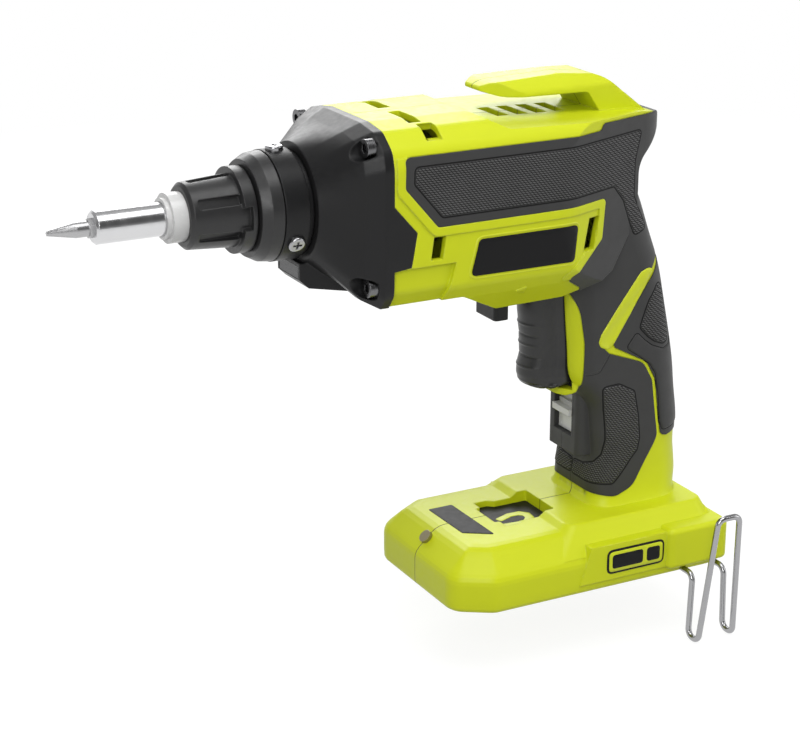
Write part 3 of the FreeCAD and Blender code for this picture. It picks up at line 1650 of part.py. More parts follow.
def trigger():
    corners = with_radius(trigger_points(), trigger_edge_radius)
    body = side_prism(corners, -trigger_half_width, trigger_half_width)
    rear = trigger_front + trigger_length
    fold = trigger_front + trigger_fold_share * trigger_length
    shoulder = trigger_front + trigger_shoulder_share * trigger_length
    left = [
        (trigger_front, -trigger_finger_half_width, trigger_finger_radius),
        (fold, -trigger_finger_half_width, trigger_fold_radius),
        (shoulder, -trigger_half_width, trigger_fold_radius), (rear + overrun, -trigger_half_width, 0),
    ]
    top = trigger_bottom + trigger_height + overrun
    body = body.common(plan_prism(mirrored_across(left), trigger_bottom - overrun, top))
    grooves = []
    for i in range(trigger_rib_count):
        z = trigger_bottom + trigger_rib_first + i * trigger_rib_pitch
        face = trigger_front + trigger_length * trigger_front_share((z - trigger_bottom) / trigger_height)
        x = face - trigger_rib_radius + trigger_rib_depth
        grooves.append(Part.makeCylinder(
            trigger_rib_radius, 2 * trigger_half_width + 2 * overrun,
            V(x, -trigger_half_width - overrun, z), ALONG_Y))
    pocket_radius_inside = trigger_spring_radius + trigger_spring_wire
    pocket = rod(pocket_radius_inside, rear - trigger_travel, rear + overrun, 0, spring_level())
    return body.cut(grooves + [pocket])


def trigger_front_share(level_share):
    """Share of the trigger's length where its front face lies at a level."""
    front = [trigger_side_shares[i] for i in (3, 2, 1, 0)]
    for (x0, z0), (x1, z1) in zip(front, front[1:]):
        if z0 <= level_share <= z1:
            return x0 + (x1 - x0) * (level_share - z0) / (z1 - z0)
    return front[0][0]


def spring_level():
    return trigger_bottom + spring_height_share * trigger_height


def switch_front():
    return trigger_front + trigger_length + trigger_travel + moving_gap


def trigger_spring():
    start = trigger_front + trigger_length - trigger_travel + trigger_spring_wire / 2
    length = switch_front() - trigger_spring_wire / 2 - start
    return coil(
        V(start, 0, spring_level()), length, trigger_spring_radius, trigger_spring_wire, trigger_spring_turns)


def bridge_bottom():
    return trigger_bottom + trigger_height + moving_gap + moving_gap


def bridge_top():
    return bridge_bottom() + bridge_height


def selector_pivot_x():
    return switch_front() - bridge_length / 2


def switch_module():
    """Switch body behind the trigger, with the ledge and pin for the direction selector."""
    front = switch_front()
    body = plan_prism(
        rectangle(front, -switch_half_width, front + switch_length, switch_half_width, switch_edge_radius),
        switch_bottom, bridge_top())
    bridge = box(
        (front - bridge_length, -bridge_half_width, bridge_bottom()),
        (front + overrun, bridge_half_width, bridge_top()))
    pin = Part.makeCylinder(
        selector_pin_radius, selector_pin_height, V(selector_pivot_x(), 0, bridge_top()), ALONG_Z)
    return fused([body, bridge, pin])


def direction_selector():
    """Swing lever: hub on the switch, arm inside the barrel and a tip hanging through the bump."""
    low = bridge_top() + seat_gap
    high = low + selector_hub_height
    x = selector_pivot_x()
    hub = Part.makeCylinder(selector_hub_radius, selector_hub_height, V(x, 0, low), ALONG_Z)
    arm = box((selector_tip_front, -selector_arm_half_width, low), (x, selector_arm_half_width, high))
    half = selector_tip_half_width
    rear = selector_tip_front + selector_tip_length
    tip = plan_prism(
        rectangle(selector_tip_front, -half, rear, half, selector_tip_radius), selector_tip_bottom, high)
    hole = Part.makeCylinder(
        selector_pin_radius + shaft_fit, selector_hub_height + 2 * overrun, V(x, 0, low - overrun), ALONG_Z)
    return fused([hub, arm, tip]).cut(hole)


def lock_on_switch():
    back_face = pocket_front + wall + moving_gap
    low = lock_window_bottom - (lock_plate_height - lock_window_height) - overrun
    high = low + lock_plate_height
    plate = box(
        (back_face, -lock_plate_half_width, low),
        (back_face + lock_plate_thickness, lock_plate_half_width, high))
    half = lock_window_half_width - moving_gap
    face_low = lock_window_bottom + moving_gap
    face_high = lock_window_bottom + lock_window_height - lock_travel - moving_gap
    face = box(
        (back_face - moving_gap - lock_face_thickness, -half, face_low),
        (back_face + overrun, half, face_high))
    ledge_low = low + lock_ledge_level
    ledge = box(
        (back_face - moving_gap - lock_face_thickness - lock_ledge_reach, -half, ledge_low),
        (back_face + overrun, half, ledge_low + lock_ledge_height))
    return fused([plate, face, ledge])


def tray_plate():
    low = tray_level()
    return plan_prism(tray_corners(seat_gap), low, low + tray_plate_thickness)


def tray_magnet():
    length, width, height = tray_magnet_size
    middle = tray_front + tray_length / 2
    top = tray_level() - tray_floor
    return box((middle - length / 2, -width / 2, top - height), (middle + length / 2, width / 2, top))


def foot_screw_base():
    x = foot_front + foot_screw_share * foot_slope_run
    z = foot_rim_height + foot_screw_share * (foot_deck_height - foot_rim_height)
    return x, z


def foot_screw_direction():
    direction = V(-(foot_deck_height - foot_rim_height), 0, foot_slope_run)
    direction.normalize()
    return direction


def foot_screw_shank():
    x, z = foot_screw_base()
    return Part.makeCylinder(foot_screw_radius, foot_screw_length, V(x, 0, z), foot_screw_direction() * -1)


def foot_screw():
    x, z = foot_screw_base()
    outwards = foot_screw_direction()
    head = Part.makeCylinder(foot_screw_head_radius, foot_screw_head_height, V(x, 0, z), outwards)
    return fused([head, foot_screw_shank()])


def controller_tray():
    low = wall
    outer = box(
        (controller_front, -controller_half_width, low),
        (controller_front + controller_length, controller_half_width, low + controller_height))
    inner = box(
        (controller_front + controller_wall, -controller_half_width + controller_wall, low + controller_wall),
        (controller_front + controller_length - controller_wall, controller_half_width - controller_wall,
         low + controller_height + overrun))
    return outer.cut(inner)


def controller_board():
    low = wall + controller_wall
    margin = controller_wall + seat_gap
    return box(
        (controller_front + margin, -controller_half_width + margin, low),
        (controller_front + controller_length - margin, controller_half_width - margin,
         low + controller_board_thickness))


def terminal_block():
    half = socket_half_width - seat_gap
    return plan_prism(
        rectangle(-terminal_half_length, -half, terminal_half_length, half, socket_radius / 2),
        socket_height - terminal_height, socket_height)


def battery_contacts():
    top = socket_height - terminal_height
    contacts = []
    for i in range(contact_count):
        x = (i - (contact_count - 1) / 2) * contact_pitch
        contacts.append(box(
            (x - contact_thickness / 2, -contact_half_width, top - contact_length),
            (x + contact_thickness / 2, contact_half_width, top)))
    return Part.makeCompound(contacts)


def wire_path(points):
    """Wire through points, with an arc at each bend."""
    edges = []
    start = points[0]
    for before, here, after in zip(points, points[1:], points[2:]):
        to_before = before - here
        to_after = after - here
        half = to_before.getAngle(to_after) / 2
        room = min(to_before.Length, to_after.Length) * corner_room_share
        radius = min(wire_bend, room * math.tan(half))
        to_before.normalize()
        to_after.normalize()
        setback = radius / math.tan(half)
        middle = to_before + to_after
        middle.normalize()
        arc_start = here + to_before * setback
        arc_end = here + to_after * setback
        arc_middle = here + middle * (radius / math.sin(half) - radius)
        edges.append(Part.makeLine(start, arc_start))
        edges.append(Part.Arc(arc_start, arc_middle, arc_end).toShape())
        start = arc_end
    edges.append(Part.makeLine(start, points[-1]))
    return Part.Wire(edges)


def belt_hook_wire():
    """Bent wire: two roots in the rear block, two hanging loops and a closed upper end."""
    face = -(foot_half_width + rear_block_step)
    drop = face - wire_drop_out
    out = drop - wire_loop_width
    top = out - wire_top_out
    rear = wire_front + wire_spacing
    points = [
        V(wire_front, face + wire_root, wire_level), V(wire_front, drop, wire_level),
        V(wire_front - wire_low_spread, drop, wire_low), V(wire_front - wire_low_spread, out, wire_low),
        V(wire_front + wire_top_inset, top, wire_top), V(rear - wire_top_inset, top, wire_top),
        V(rear + wire_low_spread, out, wire_low), V(rear + wire_low_spread, drop, wire_low),
        V(rear, drop, wire_level), V(rear, face + wire_root, wire_level),
    ]
    path = wire_path(points)
    section = Part.Wire(Part.makeCircle(wire_radius, points[0], ALONG_Y))
    return path.makePipeShell([section], True, False)


def build():
    pieces = housing_and_skins()
    pieces["gear_case"] = gear_case()
    pieces["gear_case_screws"] = gear_case_screws()
    pieces["led_lens"] = lamp_lens()
    pieces["led_board"] = lamp_board()
    pieces["collar_seat"] = collar_seat()
    pieces["collar_screws"] = collar_screws()
    pieces["depth_collar"] = depth_collar()
    pieces["depth_sleeve"] = depth_sleeve()
    pieces["guide_bush"] = guide_bush()
    pieces["spindle_bush"] = spindle_bush()
    pieces["bit_holder"] = bit_holder()
    pieces["screw_bit"] = screw_bit()
    pieces["holder_magnet"] = holder_magnet()
    pieces["spindle"] = spindle()
    pieces["clutch_spring"] = clutch_spring()
    for i, planet in enumerate(planet_gears()):
        pieces["planet_gear_%d" % (i + 1)] = planet
    pieces["sun_pinion"] = sun_pinion()
    pieces["ring_gear"] = ring_gear()
    pieces["planet_carrier"] = planet_carrier()
    pieces["spindle_bearing"] = spindle_bearing()
    pieces["gearbox_plate"] = gearbox_plate()
    pieces["front_motor_bearing"] = front_motor_bearing()
    pieces["rear_motor_bearing"] = rear_motor_bearing()
    pieces["motor_shaft"] = motor_shaft()
    pieces["cooling_fan"] = cooling_fan()
    pieces["motor_rotor"] = motor_rotor()
    pieces["rotor_magnets"] = rotor_magnets()
    pieces["motor_stator"] = motor_stator()
    pieces["motor_windings"] = motor_windings()
    pieces["trigger"] = trigger()
    pieces["trigger_spring"] = trigger_spring()
    pieces["switch_module"] = switch_module()
    pieces["direction_selector"] = direction_selector()
    pieces["lock_on_switch"] = lock_on_switch()
    pieces["tray_plate"] = tray_plate()
    pieces["tray_magnet"] = tray_magnet()
    pieces["foot_screw"] = foot_screw()
    pieces["controller_tray"] = controller_tray()
    pieces["controller_board"] = controller_board()
    pieces["terminal_block"] = terminal_block()
    pieces["battery_contacts"] = battery_contacts()
    pieces["belt_hook"] = belt_hook_wire()
    pieces["housing_screws"] = housing_screws()
    os.makedirs("parts", exist_ok=True)
    for name, shape in pieces.items():
        shape.exportStep("parts/%s.step" % name)


build()
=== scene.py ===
import math

import bmesh
import bpy
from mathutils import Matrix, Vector
from mathutils.bvhtree import BVHTree
from mathutils.geometry import delaunay_2d_cdt


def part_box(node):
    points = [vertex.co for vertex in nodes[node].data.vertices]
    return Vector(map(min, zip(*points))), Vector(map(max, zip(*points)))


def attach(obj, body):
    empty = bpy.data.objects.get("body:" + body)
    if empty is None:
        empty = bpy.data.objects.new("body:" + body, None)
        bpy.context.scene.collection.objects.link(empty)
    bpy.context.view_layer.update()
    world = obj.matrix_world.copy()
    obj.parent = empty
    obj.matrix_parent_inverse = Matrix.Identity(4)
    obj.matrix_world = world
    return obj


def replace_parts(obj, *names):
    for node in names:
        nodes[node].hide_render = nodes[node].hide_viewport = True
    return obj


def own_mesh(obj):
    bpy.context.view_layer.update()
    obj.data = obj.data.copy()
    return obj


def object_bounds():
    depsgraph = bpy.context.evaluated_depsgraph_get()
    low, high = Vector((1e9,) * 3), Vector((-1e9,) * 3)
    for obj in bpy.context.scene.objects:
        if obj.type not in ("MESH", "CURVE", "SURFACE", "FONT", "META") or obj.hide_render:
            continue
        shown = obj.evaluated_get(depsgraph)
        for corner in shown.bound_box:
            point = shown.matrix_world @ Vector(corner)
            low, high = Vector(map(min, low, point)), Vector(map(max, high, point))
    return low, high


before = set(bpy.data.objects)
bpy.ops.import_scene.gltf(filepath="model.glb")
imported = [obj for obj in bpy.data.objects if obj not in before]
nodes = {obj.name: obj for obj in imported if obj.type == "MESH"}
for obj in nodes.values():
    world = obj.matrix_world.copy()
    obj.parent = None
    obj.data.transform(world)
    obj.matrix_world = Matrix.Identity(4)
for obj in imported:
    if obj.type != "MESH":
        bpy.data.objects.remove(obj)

# Cordless drywall screwdriver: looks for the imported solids, in metres.
# The nose points to -X, the tool's left side to -Y, and +Z is up.
# Outlines and heights are written in millimetres.

cad_low, cad_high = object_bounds()
scene = bpy.context.scene
MM = 0.001


# Materials

class Shader:
    """A node material under construction: short names for the node calls."""

    def __init__(self, name):
        self.material = bpy.data.materials.new(name)
        self.material.use_nodes = True
        self.tree = self.material.node_tree
        self.tree.nodes.clear()
        self.output = self.tree.nodes.new("ShaderNodeOutputMaterial")
        self.surface = self.tree.nodes.new("ShaderNodeBsdfPrincipled")
        self.link(self.surface.outputs[0], self.output.inputs["Surface"])
        self.place = self.node("ShaderNodeTexCoord").outputs["Object"]

    def node(self, kind, **settings):
        made = self.tree.nodes.new(kind)
        for key, value in settings.items():
            setattr(made, key, value)
        return made

    def link(self, source, socket):
        self.tree.links.new(source, socket)

    def feed(self, socket, value):
        if isinstance(value, bpy.types.NodeSocket):
            self.link(value, socket)
        else:
            socket.default_value = value

    def math(self, operation, first, second=0.0):
        made = self.node("ShaderNodeMath", operation=operation)
        self.feed(made.inputs[0], first)
        self.feed(made.inputs[1], second)
        return made.outputs[0]

    def noise(self, scale, detail=4.0, roughness=0.55, place=None):
        made = self.node("ShaderNodeTexNoise")
        self.link(place or self.place, made.inputs["Vector"])
        made.inputs["Scale"].default_value = scale
        made.inputs["Detail"].default_value = detail
        made.inputs["Roughness"].default_value = roughness
        return made.outputs["Fac"]

    def stretched(self, scale):
        made = self.node("ShaderNodeMapping")
        self.link(self.place, made.inputs["Vector"])
        made.inputs["Scale"].default_value = scale
        return made.outputs["Vector"]

    def span(self, value, low, high, out_low, out_high):
        made = self.node("ShaderNodeMapRange")
        self.feed(made.inputs["Value"], value)
        limits = {"From Min": low, "From Max": high, "To Min": out_low, "To Max": out_high}
        for key, number in limits.items():
            made.inputs[key].default_value = number
        return made.outputs["Result"]

    def mix(self, share, first, second):
        made = self.node("ShaderNodeMix", data_type="RGBA")
        self.feed(made.inputs["Factor"], share)
        for socket, value in ((made.inputs["A"], first), (made.inputs["B"], second)):
            self.feed(socket, value if isinstance(value, bpy.types.NodeSocket) else (*value, 1.0))
        return made.outputs["Result"]

    def axes(self):
        made = self.node("ShaderNodeSeparateXYZ")
        self.link(self.place, made.inputs[0])
        return made.outputs

    def soft_normal(self, radius):
        """Surface direction with the edges rounded by a radius, in millimetres."""
        made = self.node("ShaderNodeBevel", samples=6)
        made.inputs["Radius"].default_value = radius * MM
        return made.outputs[0]

    def edge_share(self, soft):
        """1 on edges and 0 on flats, from the rounded and the true surface direction."""
        flat_dot, edge_dot = 0.995, 0.82
        true = self.node("ShaderNodeNewGeometry").outputs["Normal"]
        dot = self.node("ShaderNodeVectorMath", operation="DOT_PRODUCT")
        self.link(soft, dot.inputs[0])
        self.link(true, dot.inputs[1])
        return self.span(dot.outputs["Value"], flat_dot, edge_dot, 0.0, 1.0)

    def bump(self, height, strength, depth, normal=None):
        """Bump of a depth in millimetres."""
        made = self.node("ShaderNodeBump")
        made.inputs["Strength"].default_value = strength
        made.inputs["Distance"].default_value = depth * MM
        self.link(height, made.inputs["Height"])
        if normal is not None:
            self.link(normal, made.inputs["Normal"])
        return made.outputs[0]

    def parting(self, shade, height, colour):
        """Adds the dark line where the two halves of the tool meet."""
        line_core, line_edge = 0.12 * MM, 0.26 * MM
        line_tone, line_depth = 0.10, 6.0
        line = self.span(self.math("ABSOLUTE", self.axes()[1]), line_core, line_edge, 1.0, 0.0)
        shade = self.mix(line, shade, scaled(colour, line_tone))
        return shade, self.math("SUBTRACT", height, self.math("MULTIPLY", line, line_depth))

    def done(self, colour, roughness, normal=None, **constants):
        self.feed(self.surface.inputs["Base Color"], colour)
        self.feed(self.surface.inputs["Roughness"], roughness)
        if normal is not None:
            self.link(normal, self.surface.inputs["Normal"])
        for key, value in constants.items():
            self.surface.inputs[key.replace("_", " ")].default_value = value
        return self.material


def scaled(colour, share):
    """Darker or lighter colour."""
    return tuple(min(1.0, c * share) for c in colour)


def moulded(name, colour, wear_and_highlight, roughness, grain, edge_radius, seam=False, level=0.5,
            grain_scale=3600.0):
    """Moulded plastic: fine sparked grain, faint mottling, and edges lighter in patches, partly wear and
    partly a painted highlight; a seam is optional.
    """
    s = Shader(name)
    soft = s.soft_normal(edge_radius)
    edge = s.edge_share(soft)
    wear_and_highlight_patches = s.span(s.noise(240.0, 5.0, 0.7), 0.45, 0.75, 0.0, 1.0)
    shade = s.mix(s.noise(55.0, 3.0), scaled(colour, 0.95), colour)
    # Edges lighter in patches: partly wear, partly a painted highlight.
    shade = s.mix(s.math("MULTIPLY", edge, s.math("MULTIPLY", wear_and_highlight_patches, 0.5)), shade, wear_and_highlight)
    gloss = s.span(s.noise(420.0, 4.0), 0.3, 0.7, roughness - 0.04, roughness + 0.05)
    height = s.noise(grain_scale, 2.0)
    if seam:
        shade, height = s.parting(shade, height, colour)
    return s.done(shade, gloss, s.bump(height, grain, 0.05, soft), Specular_IOR_Level=level)


def woven_rubber(name, colour, length, width):
    """Rubber with rows of short slanted strands, each row half a strand further on; the gaps between
    strands are painted dark as shade, and the strand tops are lighter in patches, partly wear and partly
    a painted highlight.
    """
    s = Shader(name)
    wrap, row_shift, slant, end_power = 0.8, 0.5, 0.55, 3.0
    x, y, z = s.axes()
    across = s.math("MULTIPLY", z, 1.0 / (width * MM))
    row = s.math("FLOOR", across)
    rise = s.math("SUBTRACT", s.math("FRACT", across), 0.5)
    run = s.math("ADD", x, s.math("MULTIPLY", s.math("ABSOLUTE", y), wrap))
    run = s.math("MULTIPLY", run, 1.0 / (length * MM))
    run = s.math("ADD", run, s.math("MULTIPLY", row, row_shift))
    slanted = s.math("ADD", run, s.math("MULTIPLY", rise, slant))
    along = s.math("SUBTRACT", s.math("FRACT", slanted), 0.5)
    crown = s.math("COSINE", s.math("MULTIPLY", rise, math.pi))
    to_end = s.math("ABSOLUTE", s.math("MULTIPLY", along, 2.0))
    taper = s.math("SUBTRACT", 1.0, s.math("POWER", to_end, end_power))
    strand = s.math("MULTIPLY", crown, taper)
    # Gaps between strands painted near black: painted shade in the recesses.
    shade = s.mix(s.span(strand, 0.30, 0.85, 0.0, 1.0), scaled(colour, 0.12), colour)
    # Strand tops lighter in patches: partly wear, partly a painted highlight.
    wear_and_highlight = s.span(s.noise(30.0, 3.0), 0.4, 0.7, 0.0, 0.25)
    shade = s.mix(s.math("MULTIPLY", wear_and_highlight, strand), shade, scaled(colour, 1.5))
    gloss = s.span(strand, 0.0, 1.0, 0.75, 0.50)
    height = s.math("ADD", strand, s.math("MULTIPLY", s.noise(4200.0, 2.0), 0.10))
    return s.done(shade, gloss, s.bump(height, 0.9, 0.28), Specular_IOR_Level=0.25)


def rubber(name, colour):
    """Smooth overmoulded rubber with a matt bloom, faint handling marks, a parting line, and edges
    painted lighter as a highlight.
    """
    s = Shader(name)
    soft = s.soft_normal(0.7)
    edge = s.edge_share(soft)
    shade = s.mix(s.noise(40.0, 4.0), scaled(colour, 0.90), colour)
    # Edges painted lighter: a painted highlight.
    shade = s.mix(s.math("MULTIPLY", edge, 0.35), shade, scaled(colour, 1.6))
    gloss = s.span(s.noise(180.0, 4.0), 0.3, 0.7, 0.48, 0.58)
    height = s.math("ADD", s.noise(3600.0, 2.0), s.math("MULTIPLY", s.noise(700.0, 2.0), 0.5))
    shade, height = s.parting(shade, height, colour)
    return s.done(shade, gloss, s.bump(height, 0.20, 0.05, soft), Specular_IOR_Level=0.30,
                  Sheen_Weight=0.04, Sheen_Roughness=0.5)


def metal(name, colour, roughness, lines, tarnish, along="X", edge_radius=0.25):
    """Machined metal: turning or drawing lines, small scratches, a little tarnish, and edges painted
    lighter as a highlight.
    """
    s = Shader(name)
    soft = s.soft_normal(edge_radius)
    edge = s.edge_share(soft)
    scale = [lines if axis == along else 40.0 for axis in "XYZ"]
    drawn = s.noise(1.0, 3.0, 0.6, s.stretched(scale))
    spots = s.span(s.noise(90.0, 3.0, 0.5), 0.5, 0.8, 0.0, 1.0)
    shade = s.mix(s.math("MULTIPLY", spots, tarnish), colour, scaled(colour, 0.7))
    # Edges painted lighter: a painted highlight.
    shade = s.mix(s.math("MULTIPLY", edge, 0.5), shade, scaled(colour, 1.25))
    gloss = s.span(drawn, 0.3, 0.7, roughness * 0.8, roughness * 1.25)
    return s.done(shade, gloss, s.bump(drawn, 0.06, 0.03, soft), Metallic=1.0)


def board(name):
    """Circuit board: green lacquer with lighter copper tracks."""
    s = Shader(name)
    made = s.node("ShaderNodeTexBrick")
    s.link(s.stretched((260.0, 260.0, 260.0)), made.inputs["Vector"])
    made.inputs["Color1"].default_value = (0.010, 0.075, 0.030, 1)
    made.inputs["Color2"].default_value = (0.014, 0.095, 0.036, 1)
    made.inputs["Mortar"].default_value = (0.05, 0.20, 0.07, 1)
    made.inputs["Mortar Size"].default_value = 0.06
    gloss = s.span(s.noise(300.0), 0.3, 0.7, 0.25, 0.40)
    return s.done(made.outputs["Color"], gloss, s.bump(made.outputs["Fac"], 0.3, 0.05))


def smoked(name):
    """Dark lamp lens with a faint prism pattern."""
    s = Shader(name)
    ribs = s.noise(1.0, 2.0, 0.5, s.stretched((200.0, 1800.0, 200.0)))
    gloss = s.span(ribs, 0.3, 0.7, 0.10, 0.22)
    shade = s.mix(ribs, (0.030, 0.031, 0.034), (0.055, 0.056, 0.060))
    return s.done(shade, gloss, s.bump(ribs, 0.4, 0.08), Transmission_Weight=0.35, IOR=1.49)


LIME = (0.595, 0.660, 0.010)
# Lighter lime for the edges: partly wear, partly a painted highlight.
LIME_WEAR_AND_HIGHLIGHT = (0.80, 0.86, 0.22)
looks = {
    "lime_plastic": moulded("lime_plastic", LIME, LIME_WEAR_AND_HIGHLIGHT, 0.40, 0.07, 0.9, seam=True, level=0.28),
    "lime_paint": moulded("lime_paint", LIME, LIME_WEAR_AND_HIGHLIGHT, 0.40, 0.05, 0.2),
    "grip_rubber": rubber("grip_rubber", (0.037, 0.037, 0.037)),
    "woven_rubber": woven_rubber("woven_rubber", (0.100, 0.100, 0.100), 1.5, 0.84),
    # Near-black bands: painted shade in the gaps around the raised pads, and the dark grip seam.
    "seam_and_painted_groove_shade": moulded("seam_and_painted_groove_shade", (0.004, 0.004, 0.004), (0.02, 0.02, 0.02),
                            0.7, 0.1, 0.1, level=0.2),
    "black_plastic": moulded("black_plastic", (0.010, 0.010, 0.0105), (0.07, 0.07, 0.07),
                             0.38, 0.34, 0.9, level=0.24, grain_scale=2300.0),
    # Base colour painted about twice as light as black_plastic, standing for light that falls on the
    # trigger, sleeve and collar; the higher specular level is their satin finish.
    "satin_black_painted_lighter": moulded("satin_black_painted_lighter", (0.019, 0.019, 0.0195), (0.08, 0.08, 0.08),
                           0.36, 0.22, 0.6, level=0.44, grain_scale=2600.0),
    "plate_black": moulded("plate_black", (0.012, 0.012, 0.0125), (0.05, 0.05, 0.05),
                           0.42, 0.03, 0.3, level=0.10),
    "dark_plastic": moulded("dark_plastic", (0.013, 0.013, 0.014), (0.08, 0.08, 0.08),
                            0.34, 0.12, 0.6),
    "white_plastic": moulded("white_plastic", (0.62, 0.62, 0.615), (0.78, 0.78, 0.77),
                             0.24, 0.03, 0.4),
    "clear_lens": smoked("clear_lens"),
    "circuit_board": board("circuit_board"),
    "bright_steel": metal("bright_steel", (0.64, 0.64, 0.65), 0.20, 500.0, 0.06),
    "machined_steel": metal("machined_steel", (0.55, 0.55, 0.56), 0.28, 1400.0, 0.25),
    "dark_steel": metal("dark_steel", (0.16, 0.16, 0.165), 0.26, 900.0, 0.20),
    "wire_steel": metal("wire_steel", (0.37, 0.37, 0.38), 0.22, 260.0, 0.08, "Z"),
    "bit_steel": metal("bit_steel", (0.44, 0.44, 0.445), 0.30, 60.0, 0.04, edge_radius=0.04),
    "brass_screw": metal("brass_screw", (0.36, 0.32, 0.20), 0.34, 300.0, 0.20),
    "sintered_bronze": metal("sintered_bronze", (0.46, 0.31, 0.16), 0.42, 500.0, 0.40),
    "cast_alloy": metal("cast_alloy", (0.50, 0.50, 0.51), 0.45, 300.0, 0.35),
    "lamination_steel": metal("lamination_steel", (0.33, 0.34, 0.36), 0.40, 6000.0, 0.30),
    "copper_wire": metal("copper_wire", (0.72, 0.30, 0.12), 0.34, 5200.0, 0.20),
    "dark_magnet": metal("dark_magnet", (0.16, 0.16, 0.17), 0.45, 300.0, 0.40),
}

node_looks = {
    "lime_plastic": ["left_housing", "right_housing"],
    "grip_rubber": ["left_upper_grip", "right_upper_grip", "left_backstrap_grip",
                    "right_backstrap_grip", "left_front_grip", "right_front_grip"],
    "black_plastic": ["gear_case", "collar_seat", "direction_selector"],
    "satin_black_painted_lighter": ["depth_collar", "depth_sleeve", "trigger"],
    "plate_black": ["tray_plate"],
    "dark_plastic": ["switch_module", "controller_tray", "terminal_block", "cooling_fan"],
    "white_plastic": ["guide_bush", "lock_on_switch"],
    "clear_lens": ["led_lens"],
    "circuit_board": ["led_board", "controller_board"],
    "bit_steel": ["screw_bit"],
    "bright_steel": ["bit_holder", "trigger_spring", "clutch_spring"],
    "brass_screw": ["foot_screw"],
    "machined_steel": ["spindle", "planet_carrier", "planet_gear_1", "planet_gear_2",
                       "planet_gear_3", "sun_pinion", "ring_gear", "spindle_bearing",
                       "front_motor_bearing", "rear_motor_bearing", "motor_shaft",
                       "housing_screws", "battery_contacts"],
    "dark_steel": ["gear_case_screws"],
    "wire_steel": ["belt_hook", "collar_screws"],
    "sintered_bronze": ["spindle_bush"],
    "cast_alloy": ["gearbox_plate"],
    "lamination_steel": ["motor_stator", "motor_rotor"],
    "copper_wire": ["motor_windings"],
    "dark_magnet": ["rotor_magnets", "holder_magnet", "tray_magnet"],
}
for look, names in node_looks.items():
    for name in names:
        for place in nodes[name].material_slots:
            place.material = looks[look]
bare = sorted(set(nodes) - {n for names in node_looks.values() for n in names})
if bare:
    raise RuntimeError("no look for " + ", ".join(bare))


# Flat outlines

def rounded(points, radius, closed=True):
    """Outline with its corners rounded."""
    steps, most_of_side = 5, 0.48
    made = []
    count = len(points)
    for i in range(count):
        here = Vector(points[i])
        if not closed and i in (0, count - 1):
            made.append(here)
            continue
        before = Vector(points[i - 1]) - here
        after = Vector(points[(i + 1) % count]) - here
        half = before.angle(after) / 2
        reach = min(radius / math.tan(half), before.length * most_of_side, after.length * most_of_side)
        start = here + before.normalized() * reach
        end = here + after.normalized() * reach
        for k in range(steps + 1):
            t = k / steps
            made.append((1 - t) ** 2 * start + 2 * t * (1 - t) * here + t * t * end)
    return made


def resampled(points, step, closed=True):
    """Same outline with points no further apart than a step."""
    made = []
    ends = points[1:] + points[:1] if closed else points[1:]
    for start, end in zip(points, ends):
        count = max(1, math.ceil((end - start).length / step))
        made += [start.lerp(end, k / count) for k in range(count)]
    return made if closed else made + [points[-1]]


def offset(points, distance, closed=True):
    """Outline moved outwards, or an open line moved to its right; the points keep their number."""
    count = len(points)
    area = sum(points[i - 1].x * points[i].y - points[i].x * points[i - 1].y for i in range(count))
    turn = -1 if closed and area < 0 else 1
    made = []
    for i in range(count):
        before = points[i - 1] if closed else points[max(i - 1, 0)]
        after = points[(i + 1) % count] if closed else points[min(i + 1, count - 1)]
        along = (after - before).normalized()
        made.append(points[i] + Vector((along.y, -along.x)) * turn * distance)
    return made


def oval(x, z, half_width, half_height):
    """Outline of an oval hole."""
    count = 28
    turns = [2 * math.pi * k / count for k in range(count)]
    return [Vector((x + half_width * math.cos(t), z + half_height * math.sin(t))) for t in turns]


def encloses(line, point):
    """True where a point lies inside a closed outline."""
    within = False
    for a, b in zip(line, line[1:] + line[:1]):
        if (a.y > point.y) != (b.y > point.y):
            crossing = a.x + (point.y - a.y) * (b.x - a.x) / (b.y - a.y)
            if point.x < crossing:
                within = not within
    return within


# Ways to lay an outline on the solids

def surface_of(names):
    """Search tree over the faces of some solids."""
    points = []
    faces = []
    for name in names:
        mesh = nodes[name].data
        start = len(points)
        points += [v.co.copy() for v in mesh.vertices]
        faces += [tuple(start + i for i in p.vertices) for p in mesh.polygons]
    return BVHTree.FromPolygons(points, faces)


LEFT = ["left_housing", "left_upper_grip", "left_backstrap_grip", "left_front_grip"]
RIGHT = [name.replace("left", "right") for name in LEFT]
surfaces = {-1: surface_of(LEFT), 1: surface_of(RIGHT)}
foot_surface = surface_of(["left_housing", "right_housing"])
tray_surface = surface_of(["tray_plate"])
SIDE_REACH = 120.0
HANDLE_REACH = 60.0
TOP_REACH = 60.0


def landed(tree, start, direction, height):
    """Point at a height over the first surface that a ray meets."""
    hit, normal = tree.ray_cast(start, direction)[:2]
    if hit is None:
        raise RuntimeError("no surface from %s" % [round(c / MM, 1) for c in start])
    if normal.dot(direction) > 0:
        normal = -normal
    return hit + normal * height * MM


def on_side(side, spread=0.0):
    """Lays (x, z) points on one side of the tool; a spread carries them over gaps of that width."""
    steps = [(0, 0)] + [(i, k) for i in (-1, 1) for k in (-1, 1)] * (spread > 0)

    def place(point, height):
        middle = Vector((point.x * MM, side * SIDE_REACH * MM, point.y * MM))
        inwards = Vector((0, -side, 0))
        spots = []
        for i, k in steps:
            shift = Vector((i * spread * MM, 0, k * spread * MM))
            spots.append(landed(surfaces[side], middle + shift, inwards, height) - shift)
        return max(spots, key=lambda spot: spot.y * side)
    return place


